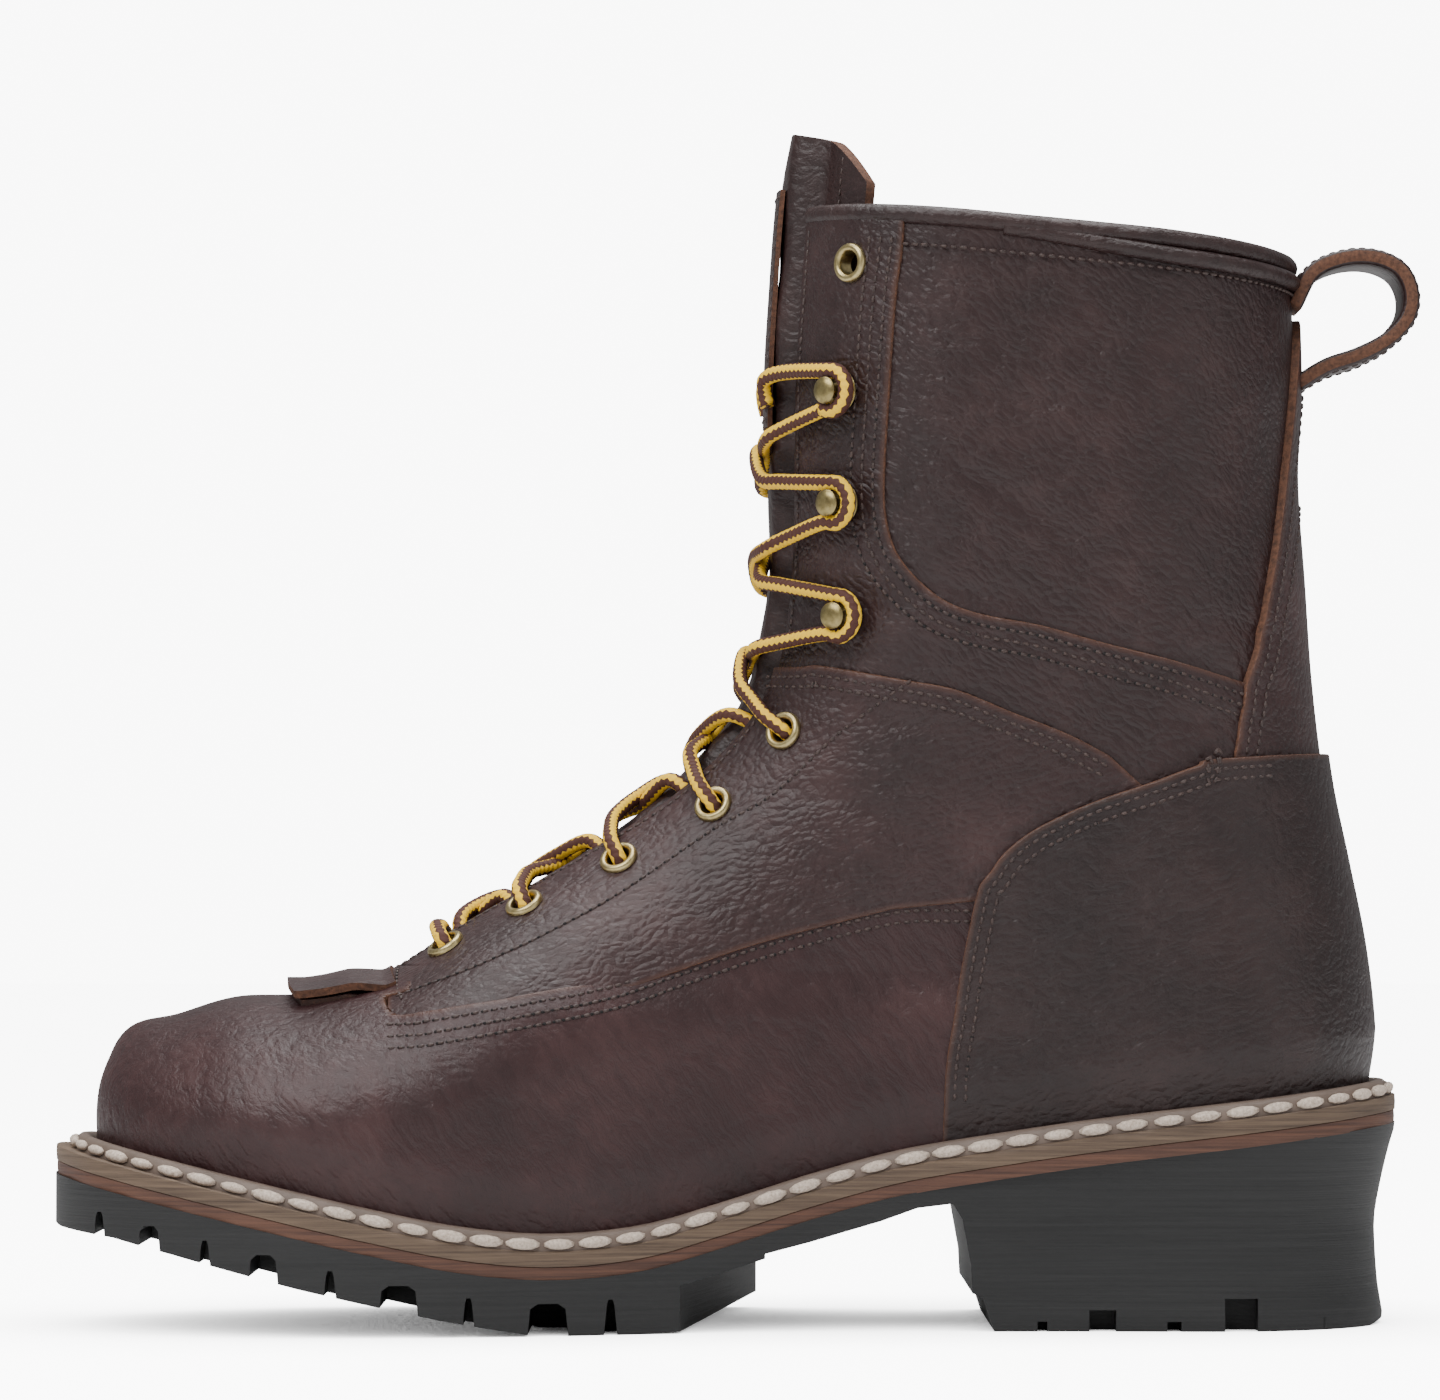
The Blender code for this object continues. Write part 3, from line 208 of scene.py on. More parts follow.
# How far the heel's side is drawn in, as a share of its waist, by height as a share of the lift
heelSideTable = table(
    "height share",
    (-0.10, 0.85),
    (0.05, 0.65),
    (0.20, 0.85),
    (0.45, 1.00),
    (0.62, 1.00),
    (0.82, 0.70),
    (1.00, 0.35),
    (1.16, 0.00),
    (1.60, 0.00),
)

# Notches in the heel's edge: place along the sole, depth and width
heelCutTable = table(
    "run depth width",
    (0.271, 0.056, 0.38),
    (0.227, 0.120, 1.05),
    (0.175, 0.056, 0.55),
    (0.126, 0.185, 1.30),
    (0.060, 0.070, 0.45),
)

# Back of the upper: set in from the heel's back, as a share of the ankle's set-in
backTable = table(
    "rise set_in",
    (0.00, 0.02),
    (0.08, 0.00),
    (0.18, 0.13),
    (0.28, 0.37),
    (0.38, 0.62),
    (0.50, 0.80),
    (0.62, 0.90),
    (0.75, 1.00),
    (0.85, 0.94),
    (1.00, 0.98),
)

# Wall of the toe: set back from the tip, by height as a share of the upper's front height
toeTable = table(
    "rise set_back",
    (0.000, 0.00),
    (0.050, 0.02),
    (0.087, 0.14),
    (0.115, 0.34),
    (0.140, 0.66),
    (0.160, 0.88),
    (0.190, 1.00),
    (0.250, 1.00),
)

# Half width of the shaft, as a share of its width, by height up the back
shaftTable = table(
    "rise share",
    (0.00, 0.400),
    (0.20, 0.405),
    (0.38, 0.410),
    (0.50, 0.425),
    (0.70, 0.465),
    (1.00, 0.500),
    (1.20, 0.510),
)

# Levels of the upper at the toe's wall: height in front and at the back
toeLevelTable = table(
    "rise back",
    (0.000, 0.000),
    (0.044, 0.034),
    (0.087, 0.065),
    (0.120, 0.092),
)

# Levels on the crest, from the toe cap up the instep and the shaft. The throat opens at the
# fifth. Round is the depth over which the side rounds in to the crest, by the ball width.
crestTable = table(
    "run rise round back",
    (0.9420, 0.1480, 0.29, 0.116),
    (0.8960, 0.1790, 0.29, 0.136),
    (0.8390, 0.2000, 0.31, 0.156),
    (0.7820, 0.2380, 0.35, 0.176),
    (0.7656, 0.2550, 0.37, 0.187),
    (0.7154, 0.3130, 0.43, 0.217),
    (0.6619, 0.3640, 0.49, 0.247),
    (0.6084, 0.4080, 0.54, 0.283),
    (0.5582, 0.4450, 0.56, 0.323),
    (0.5147, 0.4820, 0.56, 0.369),
    (0.4829, 0.5260, 0.53, 0.420),
    (0.4680, 0.5850, 0.48, 0.486),
    (0.4610, 0.6660, 0.44, 0.577),
    (0.4600, 0.7567, 0.43, 0.683),
    (0.4590, 0.8473, 0.43, 0.790),
    (0.4550, 0.9323, 0.43, 0.896),
    (0.4512, 1.0000, 0.43, 1.000),
)
throatLevel = 4

# The crest's line carried on past the toe and above the collar
noseTable = table("run rise round", (1.056, 0.085, 0.29), (0.990, 0.122, 0.29))
aboveTable = table("run rise round", (0.4460, 1.065, 0.43), (0.4400, 1.130, 0.43))

# Half gap of the throat, as a share of the gap at the collar, by place up the throat
throatTable = table(
    "share gap",
    (0.00, 0.44),
    (0.06, 0.56),
    (0.30, 0.66),
    (0.50, 0.80),
    (1.00, 1.00),
)

# Edges of the panels: run from the heel's back by the foot's length, rise above the sole by the
# upper's front height
vampEdge = table(
    "run rise",
    (0.770, 0.203),
    (0.740, 0.216),
    (0.670, 0.248),
    (0.600, 0.268),
    (0.550, 0.280),
    (0.480, 0.284),
    (0.380, 0.281),
    (0.309, 0.267),
)
quarterEdge = table(
    "run rise",
    (0.600, 0.590),
    (0.4545, 0.538),
    (0.430, 0.530),
    (0.366, 0.493),
    (0.327, 0.474),
    (0.284, 0.443),
    (0.240, 0.412),
    (0.207, 0.384),
    (0.174, 0.351),
)
facingEdge = table(
    "run rise",
    (0.100, 0.440),
    (0.160, 0.474),
    (0.210, 0.498),
    (0.260, 0.525),
    (0.309, 0.547),
    (0.339, 0.569),
    (0.364, 0.605),
    (0.377, 0.640),
    (0.382, 0.690),
    (0.378, 0.791),
    (0.373, 0.882),
    (0.366, 0.970),
    (0.364, 1.200),
)
counterEdge = table(
    "run rise",
    (0.338, -0.300),
    (0.336, 0.040),
    (0.327, 0.145),
    (0.321, 0.195),
    (0.309, 0.267),
    (0.300, 0.282),
    (0.288, 0.301),
    (0.262, 0.321),
    (0.218, 0.339),
    (0.174, 0.351),
    (0.140, 0.362),
    (0.110, 0.366),
    (-0.150, 0.360),
)
vampCorner = 4
quarterCorner = 9
backstayCorner = 11
backstayEdge = table(
    "run rise",
    (0.110, 0.366),
    (0.100, 0.440),
    (0.091, 0.477),
    (0.083, 0.527),
    (0.075, 0.580),
    (0.068, 0.641),
    (0.060, 0.725),
    (0.052, 0.822),
)
backstayFacingCorner = 1

# Places of the eyelets and hooks up the throat, as shares of the way from its foot to the collar
eyeletShares = (0.058, 0.152, 0.262, 0.372, 0.470)
topEyelet = 0.950
hookShares = (0.582, 0.692, 0.811)

# The pull loop's middle line, from its upper end on the backstay round to its lower end
loopTable = table(
    "reach rise",
    (0.045, 0.570),
    (0.190, 0.860),
    (0.420, 0.985),
    (0.680, 1.000),
    (0.890, 0.900),
    (0.985, 0.700),
    (0.960, 0.470),
    (0.800, 0.270),
    (0.560, 0.130),
    (0.300, 0.030),
    (0.075, -0.120),
)

footLength = outsoleLength - toeWelt - heelWelt
footBack = heelBack - heelWelt


def curveAt(knots, values, at):
    at = min(max(at, knots[0]), knots[-1])
    low = min(max(int(np.searchsorted(knots, at, "right")) - 1, 0), len(knots) - 2)
    step = knots[low + 1] - knots[low]
    share = (at - knots[low]) / step

    def slope(knot):
        before, after = max(knot - 1, 0), min(knot + 1, len(knots) - 1)
        return (values[after] - values[before]) / (knots[after] - knots[before])

    rise = values[low + 1] - values[low]
    start, end = slope(low) * step, slope(low + 1) * step
    turn = start + end - 2 * rise
    return float(values[low] + share * (start + share * (rise - start + turn * (share - 1))))


def ease(share):
    share = min(max(share, 0.0), 1.0)
    return share * share * (3 - 2 * share)


def rounded(depth, power=2.0):
    depth = min(max(depth, 0.0), 1.0)
    return (1 - (1 - depth) ** power) ** (1 / power)


def soleTop(x):
    return heelLift * curveAt(soleTable["run"], soleTable["top"], (heelBack - x) / outsoleLength)


def seat(x):
    return soleTop(x) + lowerLayer + midsoleLayer + 3 * seamGap


def footX(run):
    return footBack - run * footLength


def sidePoint(run, rise):
    x = footX(run)
    return x, seat(x) + rise * upperFrontHeight


def backRise(z):
    return (z - seat(footBack)) / upperBackHeight


def backX(z):
    return footBack - ankleSetIn * curveAt(backTable["rise"], backTable["set_in"], backRise(z))


def toeX(z):
    tip = footX(1)
    rise = (z - seat(tip)) / upperFrontHeight
    return tip + toeSetBack * curveAt(toeTable["rise"], toeTable["set_back"], rise)


def centre(x):
    return -toeSwing * ease(((footBack - x) / footLength - 0.5) / 0.5)


def findCrestLine():
    rows = []
    for part in (noseTable, crestTable, aboveTable):
        for run, rise, depth in zip(part["run"], part["rise"], part["round"]):
            rows.append((*sidePoint(run, rise), depth * ballWidth))
    rows = np.array(rows)
    knots = np.arange(len(rows), dtype=float)
    steps = np.linspace(0, len(rows) - 1, crestSteps * (len(rows) - 1) + 1)
    return np.array([[curveAt(knots, rows[:, i], at) for i in range(3)] for at in steps])


crestLine = findCrestLine()
crestRun = np.concatenate(
    ([0.0], np.cumsum(np.linalg.norm(np.diff(crestLine[:, :2], axis=0), axis=1)))
)
throatStart = float(crestRun[crestSteps * (len(noseTable["run"]) + throatLevel)])
throatEnd = float(crestRun[crestSteps * (len(noseTable["run"]) + len(crestTable["run"]) - 1)])


def crestDepth(x, z):
    starts, ways = crestLine[:-1, :2], np.diff(crestLine[:, :2], axis=0)
    away = np.array((x, z)) - starts
    along = np.clip((away * ways).sum(1) / (ways * ways).sum(1), 0, 1)
    off = away - along[:, None] * ways
    distance = np.hypot(off[:, 0], off[:, 1])
    near = int(distance.argmin())
    inside = ways[near, 1] * away[near, 0] - ways[near, 0] * away[near, 1] > 0
    depth = crestLine[near, 2] + along[near] * (crestLine[near + 1, 2] - crestLine[near, 2])
    return float(distance[near] / depth) if inside else 0.0


def halfWidth(x, z, side):
    rise = backRise(z)
    foot = ballWidth * curveAt(planTable["run"], planTable[side], (footBack - x) / footLength)
    foot += sideBulge * ease((z - seat(x) - beadHeight) / (3 * beadHeight))
    shaft = shaftWidth * curveAt(shaftTable["rise"], shaftTable["share"], rise)
    width = foot + (shaft - foot) * ease((rise - 0.08) / 0.50)
    heel = heelRound + (shaftRound - heelRound) * ease(rise / 0.6)
    width *= rounded((backX(z) - x) / heel)
    width *= rounded((x - toeX(z)) / toeRound, 2.2)
    return width * rounded(crestDepth(x, z))


def throatGapAt(share):
    return throatGap * curveAt(throatTable["share"], throatTable["gap"], share)


def crestShare(x, z):
    near = int(np.hypot(crestLine[:, 0] - x, crestLine[:, 1] - z).argmin())
    return (crestRun[near] - throatStart) / (throatEnd - throatStart)


def solve(low, high, tooSmall):
    for _ in range(17):
        middle = (low + high) / 2
        low, high = (middle, high) if tooSmall(middle) else (low, middle)
    return (low + high) / 2


def upperLevels():
    levels = []
    for rise, back in zip(toeLevelTable["rise"], toeLevelTable["back"]):
        z = seat(footX(1)) + rise * upperFrontHeight
        levels.append(((toeX(z), z), back, False))
    for i, (run, rise, back) in enumerate(zip(crestTable["run"], crestTable["rise"], crestTable["back"])):
        levels.append((sidePoint(run, rise), back, i >= throatLevel))
    found = []
    for i, (front, back, isOpen) in enumerate(levels):
        z = seat(footBack) + back * upperBackHeight
        found.append((front, (backX(z), z), max(0.0, 1 - i / flatLevel), isOpen))
    return found


def crestPoint(share):
    run = throatStart + share * (throatEnd - throatStart)
    at = np.array([np.interp(run, crestRun, crestLine[:, i]) for i in range(2)])
    reach = 0.004
    ends = [
        np.array([np.interp(run + off, crestRun, crestLine[:, i]) for i in range(2)])
        for off in (-reach, reach)
    ]
    way = ends[1] - ends[0]
    way = way / np.hypot(*way)
    return at, way, np.array((way[1], -way[0]))


def onFront(share, y):
    at, _, inward = crestPoint(share)
    side = "inner" if y < 0 else "outer"
    limit = 0.050

    def narrow(depth):
        return halfWidth(*(at + depth * inward), side) < abs(y)

    depth = solve(0.0, limit, narrow) if abs(y) > 1e-6 else 0.0
    x, z = at + depth * inward
    return Vector((x, centre(x) + y, z))


def frontFrame(share, y):
    point = onFront(share, y)
    step = 0.01
    reach = 0.0015
    up = onFront(share + step, y) - onFront(share - step, y)
    across = onFront(share, y + reach) - onFront(share, y - reach)
    normal = up.cross(across).normalized()
    if normal.x > 0 and normal.z < 0:
        normal.negate()
    toward = across.normalized() * (1 if y < 0 else -1)
    up = (up - up.dot(toward) * toward).normalized()
    return point, normal, up, toward


def frontTable():
    # Points and normals over the front, by place up the throat and y
    shares = np.linspace(-0.15, 1.13, 116)
    across = np.linspace(-0.037, 0.037, 49)
    points = np.array([[tuple(onFront(float(s), float(y))) for y in across] for s in shares])
    up = np.gradient(points, axis=0)
    on = np.gradient(points, axis=1)
    normals = np.cross(up, on)
    normals /= np.linalg.norm(normals, axis=2, keepdims=True)
    return shares, across, points, normals


frontShares, frontAcross, frontPoints, frontNormals = frontTable()


def lifted(share, y, lift):
    # Between four places of the front's table
    i = (float(share) - frontShares[0]) / (frontShares[1] - frontShares[0])
    j = (float(y) - frontAcross[0]) / (frontAcross[1] - frontAcross[0])
    i = min(max(i, 0.0), len(frontShares) - 1.001)
    j = min(max(j, 0.0), len(frontAcross) - 1.001)
    a, b = int(i), int(j)
    u, v = i - a, j - b
    found = []
    for grid in (frontPoints, frontNormals):
        low = grid[a, b] * (1 - v) + grid[a, b + 1] * v
        high = grid[a + 1, b] * (1 - v) + grid[a + 1, b + 1] * v
        found.append(low * (1 - u) + high * u)
    return Vector(found[0] + float(lift) * found[1])


tongueEnd = 1 + tongueRise / (throatEnd - throatStart)


def tongueLift(share, y):
    inside = -(wallThick + 4 * seamGap + bindingRadius * 0.25 * ease((share - 0.7) / 0.3))
    gap = throatGapAt(min(max(share, 0), 1))
    between = ease((gap - 0.0015 - abs(y)) / 0.0065)
    proud = tongueProud * ease((share - 0.12) / 0.58)
    return inside + (proud - inside) * between * ease((share + 0.02) / 0.10)


def tongueHalf(share):
    return tongueHalfWidth * (0.62 + 0.38 * ease(share / 0.8))


def weltWidth(x):
    run = (footBack - x) / footLength
    width = heelWelt + (sideWelt - heelWelt) * ease(run / 0.3)
    return width + (toeWelt - sideWelt) * ease((run - 0.72) / 0.28)


def wayAt(line, i):
    return (line[min(i + 1, len(line) - 1)] - line[max(i - 1, 0)]).normalized()


def smoothPath(route, spacing):
    route = np.array([tuple(point) for point in route])
    knots = np.concatenate(([0.0], np.cumsum(np.linalg.norm(np.diff(route, axis=0), axis=1))))
    count = max(2, int(math.ceil(knots[-1] / spacing)))
    return [
        Vector([curveAt(knots, route[:, i], at) for i in range(3)])
        for at in np.linspace(0, knots[-1], count + 1)
    ]


def hookTurn(share, sign, angles):
    point, normal, up, toward = frontFrame(share, sign * (throatGapAt(share) + hookInset))
    found = []
    for angle in angles:
        turn = math.radians(angle)
        ray = math.cos(turn) * toward + math.sin(turn) * up
        found.append(point + hookWrap * ray + hookWrapHeight * normal)
    return found


# Meshes

def linked(name, data):
    obj = bpy.data.objects.new(name, data)
    bpy.context.scene.collection.objects.link(obj)
    return obj


def evaluated(obj):
    bpy.context.view_layer.update()
    graph = bpy.context.evaluated_depsgraph_get()
    return bpy.data.meshes.new_from_object(obj.evaluated_get(graph))


def meshFrom(name, points, faces, mats, slots=None, values=None, weld=1e-6, spots=None):
    mesh = bpy.data.meshes.new(name)
    mesh.from_pydata([tuple(map(float, p)) for p in points], [], [tuple(map(int, f)) for f in faces])
    for key, column in (values or {}).items():
        layer = mesh.attributes.new(key, "FLOAT", "POINT")
        layer.data.foreach_set("value", np.asarray(column, np.float32))
    for mat in mats:
        mesh.materials.append(mat)
    if slots is not None:
        mesh.polygons.foreach_set("material_index", np.asarray(slots, np.int32))
    if spots is not None:
        uv = mesh.uv_layers.new(name="UVMap")
        for loop in mesh.loops:
            uv.data[loop.index].uv = spots[loop.vertex_index]
    if weld:
        work = bmesh.new()
        work.from_mesh(mesh)
        bmesh.ops.remove_doubles(work, verts=work.verts, dist=weld)
        work.to_mesh(mesh)
        work.free()
    mesh.shade_smooth()
    mesh.update()
    return linked(name, mesh)


def recalc(obj):
    work = bmesh.new()
    work.from_mesh(obj.data)
    bmesh.ops.recalc_face_normals(work, faces=work.faces)
    work.to_mesh(obj.data)
    work.free()
    return obj


def meshObject(name, points, faces):
    return recalc(meshFrom(name, points, faces, ()))


def settle(obj, *nodes):
    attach(obj, "root")
    if nodes:
        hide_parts(*nodes)
    return obj


# Shader helpers

def addNode(tree, kind, sets=None, **props):
    made = tree.nodes.new(kind)
    for key, value in props.items():
        setattr(made, key, value)
    for key, value in (sets or {}).items():
        made.inputs[key].default_value = value
    return made


def join(tree, fromNode, outKey, toNode, inKey):
    tree.links.new(fromNode.outputs[outKey], toNode.inputs[inKey])


def mathNode(tree, kind, *given, **props):
    # Each value is a number or a (node, output) pair
    made = addNode(tree, "ShaderNodeMath", operation=kind, **props)
    for i, value in enumerate(given):
        if isinstance(value, tuple):
            join(tree, *value, made, i)
        else:
            made.inputs[i].default_value = value
    return made, "Value"


def ramp(tree, stops):
    made = tree.nodes.new("ShaderNodeValToRGB")
    while len(made.color_ramp.elements) < len(stops):
        made.color_ramp.elements.new(0.5)
    for element, (at, colour) in zip(made.color_ramp.elements, stops):
        element.position = at
        element.color = (*colour, 1)
    return made


def newMaterial(name, colour, roughness, metallic=0.0, coat=0.0):
    mat = bpy.data.materials.new(name)
    mat.use_nodes = True
    shader = mat.node_tree.nodes["Principled BSDF"]
    shader.inputs["Base Color"].default_value = (*colour, 1)
    shader.inputs["Roughness"].default_value = roughness
    shader.inputs["Metallic"].default_value = metallic
    shader.inputs["Coat Weight"].default_value = coat
    shader.inputs["Coat Roughness"].default_value = 0.42
    return mat, mat.node_tree, shader


def grainGroup():
    tree = bpy.data.node_groups.new("leatherGrain", "ShaderNodeTree")
    face = tree.interface
    for key, value in (("Pebble", 0.5), ("Wrinkle", 0.5), ("Turn", 0.0), ("Stretch", 0.35)):
        face.new_socket(key, in_out="INPUT", socket_type="NodeSocketFloat").default_value = value
    face.new_socket("Height", in_out="OUTPUT", socket_type="NodeSocketFloat")
    face.new_socket("Cloud", in_out="OUTPUT", socket_type="NodeSocketFloat")
    face.new_socket("Fine", in_out="OUTPUT", socket_type="NodeSocketFloat")
    given = tree.nodes.new("NodeGroupInput")
    out = tree.nodes.new("NodeGroupOutput")
    place = tree.nodes.new("ShaderNodeTexCoord")
    turn = addNode(tree, "ShaderNodeVectorRotate", {"Axis": (0, 1, 0)})
    join(tree, place, "Object", turn, "Vector")
    join(tree, given, "Turn", turn, "Angle")
    squash = addNode(tree, "ShaderNodeCombineXYZ", {"Y": 1.0, "Z": 1.0})
    join(tree, given, "Stretch", squash, "X")
    scaled = addNode(tree, "ShaderNodeVectorMath", operation="MULTIPLY")
    join(tree, turn, "Vector", scaled, 0)
    join(tree, squash, "Vector", scaled, 1)
    warp = addNode(tree, "ShaderNodeTexNoise", {"Scale": 90.0, "Detail": 3.0})
    join(tree, place, "Object", warp, "Vector")
    bent = addNode(tree, "ShaderNodeVectorMath", operation="MULTIPLY_ADD")
    bent.inputs[1].default_value = (0.006, 0.006, 0.006)
    join(tree, warp, "Color", bent, 0)
    join(tree, scaled, "Vector", bent, 2)
    lines = addNode(tree, "ShaderNodeTexNoise", {"Scale": 430.0, "Detail": 3.0, "Roughness": 0.55})
    join(tree, bent, "Vector", lines, "Vector")
    cells = addNode(tree, "ShaderNodeTexVoronoi", {"Scale": 720.0, "Randomness": 1.0})
    join(tree, bent, "Vector", cells, "Vector")
    pores = addNode(tree, "ShaderNodeTexNoise", {"Scale": 1900.0, "Detail": 1.0})
    join(tree, place, "Object", pores, "Vector")
    patchy = addNode(tree, "ShaderNodeTexNoise", {"Scale": 34.0, "Detail": 3.0, "Roughness": 0.6})
    join(tree, place, "Object", patchy, "Vector")
    first = mathNode(tree, "MULTIPLY", (lines, "Fac"), (given, "Wrinkle"))
    second = mathNode(tree, "MULTIPLY_ADD", (cells, "Distance"), (given, "Pebble"), first)
    join(tree, *mathNode(tree, "MULTIPLY_ADD", (pores, "Fac"), 0.10, second), out, "Height")
    join(tree, patchy, "Fac", out, "Cloud")
    join(tree, lines, "Fac", out, "Fine")
    return tree


grain = grainGroup()
leatherUser = {"depth": 0.0011, "roughLow": 0.36, "roughHigh": 0.58}


def leather(name, dark, middle, light, pebble=0.5, wrinkle=0.6, turn=0.0, stretch=0.4, worn=True):
    mat, tree, shader = newMaterial(name, middle, 0.42, coat=0.05)
    shader.inputs["Specular IOR Level"].default_value = 0.40
    skinNode = addNode(tree, "ShaderNodeGroup", node_tree=grain)
    for key, value in (("Pebble", -pebble), ("Wrinkle", wrinkle), ("Turn", turn), ("Stretch", stretch)):
        skinNode.inputs[key].default_value = value
    tones = ramp(tree, ((0.40, dark), (0.70, middle), (0.95, light)))
    shade = mathNode(tree, "MULTIPLY_ADD", (skinNode, "Fine"), 0.38, (skinNode, "Cloud"))
    join(tree, *shade, tones, "Fac")
    bump = addNode(tree, "ShaderNodeBump", {"Strength": 0.65, "Distance": leatherUser["depth"]})
    join(tree, skinNode, "Height", bump, "Height")
    join(tree, bump, "Normal", shader, "Normal")
    rough = addNode(tree, "ShaderNodeMapRange")
    rough.inputs["To Min"].default_value = leatherUser["roughLow"]
    rough.inputs["To Max"].default_value = leatherUser["roughHigh"]
    join(tree, skinNode, "Fine", rough, "Value")
    join(tree, rough, "Result", shader, "Roughness")
    if not worn:
        join(tree, tones, "Color", shader, "Base Color")
        return mat
    edge = addNode(tree, "ShaderNodeAttribute", attribute_name="edge")
    near = addNode(
        tree, "ShaderNodeMapRange",
        {"From Min": 0.0002, "From Max": 0.0014, "To Min": 0.75, "To Max": 0.0}
    )
    join(tree, edge, "Fac", near, "Value")
    rub = mathNode(tree, "MULTIPLY", (near, "Result"), (skinNode, "Cloud"), use_clamp=True)
    mixed = addNode(tree, "ShaderNodeMix", data_type="RGBA")
    mixed.inputs["B"].default_value = (0.110, 0.045, 0.025, 1)
    join(tree, *rub, mixed, "Factor")
    join(tree, tones, "Color", mixed, "A")
    join(tree, mixed, "Result", shader, "Base Color")
    return mat


def rough(name, low, high, scale, roughness, depth=0.0002, along=(1, 1, 1)):
    mat, tree, shader = newMaterial(name, high, roughness)
    place = tree.nodes.new("ShaderNodeTexCoord")
    squeeze = addNode(tree, "ShaderNodeVectorMath", operation="MULTIPLY")
    squeeze.inputs[1].default_value = along
    join(tree, place, "Object", squeeze, 0)
    speck = addNode(tree, "ShaderNodeTexNoise", {"Scale": scale, "Detail": 5.0, "Roughness": 0.65})
    join(tree, squeeze, "Vector", speck, "Vector")
    tones = ramp(tree, ((0.32, low), (0.68, high)))
    join(tree, speck, "Fac", tones, "Fac")
    join(tree, tones, "Color", shader, "Base Color")
    bump = addNode(tree, "ShaderNodeBump", {"Strength": 0.6, "Distance": depth})
    join(tree, speck, "Fac", bump, "Height")
    join(tree, bump, "Normal", shader, "Normal")
    return mat


def braid():
    # Yellow cord with two toothed brown bands, from UV: x along in metres, y round
    mat, tree, shader = newMaterial("bootLace", (0.62, 0.40, 0.03), 0.75)
    place = tree.nodes.new("ShaderNodeTexCoord")
    parts = tree.nodes.new("ShaderNodeSeparateXYZ")
    join(tree, place, "UV", parts, "Vector")
    teeth = mathNode(tree, "PINGPONG", (parts, "X"), 0.0009)
    twice = mathNode(tree, "MULTIPLY", (parts, "Y"), 3.0)
    wave = mathNode(tree, "PINGPONG", twice, 0.5)
    shift = mathNode(tree, "MULTIPLY_ADD", teeth, 170.0, wave)
    mixed = addNode(tree, "ShaderNodeMix", data_type="RGBA")
    mixed.inputs["A"].default_value = (0.86, 0.52, 0.016, 1)
    mixed.inputs["B"].default_value = (0.060, 0.015, 0.008, 1)
    join(tree, *mathNode(tree, "GREATER_THAN", shift, 0.31), mixed, "Factor")
    join(tree, mixed, "Result", shader, "Base Color")
    slant = mathNode(tree, "MULTIPLY_ADD", (parts, "X"), 700.0, twice)
    bump = addNode(tree, "ShaderNodeBump", {"Strength": 0.8, "Distance": 0.0004})
    join(tree, *mathNode(tree, "PINGPONG", slant, 0.5), bump, "Height")
    join(tree, bump, "Normal", shader, "Normal")
    return mat


vampLeather = leather(
    "vampLeather", (0.0150, 0.0038, 0.0040), (0.0270, 0.0078, 0.0080), (0.0460, 0.0170, 0.0165), 0.15,
    0.80, -0.9, 0.30
)
quarterLeather = leather(
    "quarterLeather", (0.0140, 0.0044, 0.0042), (0.0250, 0.0086, 0.0083), (0.0430, 0.0180, 0.0170), 0.42,
    0.38, 0.25, 0.60
)
shaftLeather = leather(
    "shaftLeather", (0.0110, 0.0036, 0.0035), (0.0205, 0.0072, 0.0070), (0.0370, 0.0160, 0.0150), 0.50,
    0.55, -0.6, 0.50
)
counterLeather = leather(
    "counterLeather", (0.0080, 0.0030, 0.0029), (0.0150, 0.0058, 0.0055), (0.0270, 0.0126, 0.0118), 0.30,
    0.60, 0.3, 0.5
)
bindLeather = leather(
    "bindingLeather", (0.0105, 0.0036, 0.0034), (0.0195, 0.0072, 0.0067), (0.0330, 0.0145, 0.0132), 0.25,
    0.6, 0.0, 0.6, False
)
leafLeather = leather(
    "kiltieLeather", (0.0150, 0.0050, 0.0050), (0.0270, 0.0098, 0.0096), (0.0460, 0.0200, 0.0190), 0.2,
    0.8, 0.4, 0.4, False
)
liningLeather = rough("liningLeather", (0.055, 0.028, 0.016), (0.115, 0.062, 0.036), 260.0, 0.72)
rawEdge = rough("rawEdge", (0.045, 0.018, 0.010), (0.150, 0.062, 0.032), 900.0, 0.85, 0.0003)
threadDark = rough("upperThread", (0.018, 0.009, 0.008), (0.060, 0.034, 0.028), 900.0, 0.55)
# Near-black beads between the stitches: painted shade of the needle holes, which are not cut into the mesh
paintedHoleShade = newMaterial("needleHole", (0.006, 0.004, 0.004), 0.9)[0]
threadPale = rough("weltThread", (0.34, 0.26, 0.20), (0.66, 0.56, 0.47), 1500.0, 0.75)
leafEdge = rough("leafEdge", (0.010, 0.0035, 0.0025), (0.056, 0.020, 0.010), 900.0, 0.8, 0.0003)
rubber = rough(
    "rubber", (0.0045, 0.0046, 0.0048), (0.0115, 0.0115, 0.0118), 210.0, 0.62, 0.00025, (0.10, 0.10, 6.0)
)
midsoleLeather = rough(
    "midsoleLeather", (0.052, 0.031, 0.019), (0.150, 0.100, 0.064), 260.0, 0.70, 0.0003, (0.12, 0.12, 5.0)
)
lowerLeather = rough(
    "lowerMidsole", (0.040, 0.015, 0.009), (0.115, 0.048, 0.027), 260.0, 0.66, 0.0003, (0.12, 0.12, 5.0)
)
randLeather = rough("stormWelt", (0.092, 0.064, 0.048), (0.150, 0.108, 0.084), 90.0, 0.55, 0.0001)
paleBrass = rough("eyeletBrass", (0.32, 0.25, 0.11), (0.52, 0.43, 0.22), 700.0, 0.34, 0.00005)
hookBrass = rough("hookBrass", (0.20, 0.155, 0.065), (0.36, 0.29, 0.13), 700.0, 0.36, 0.00005)
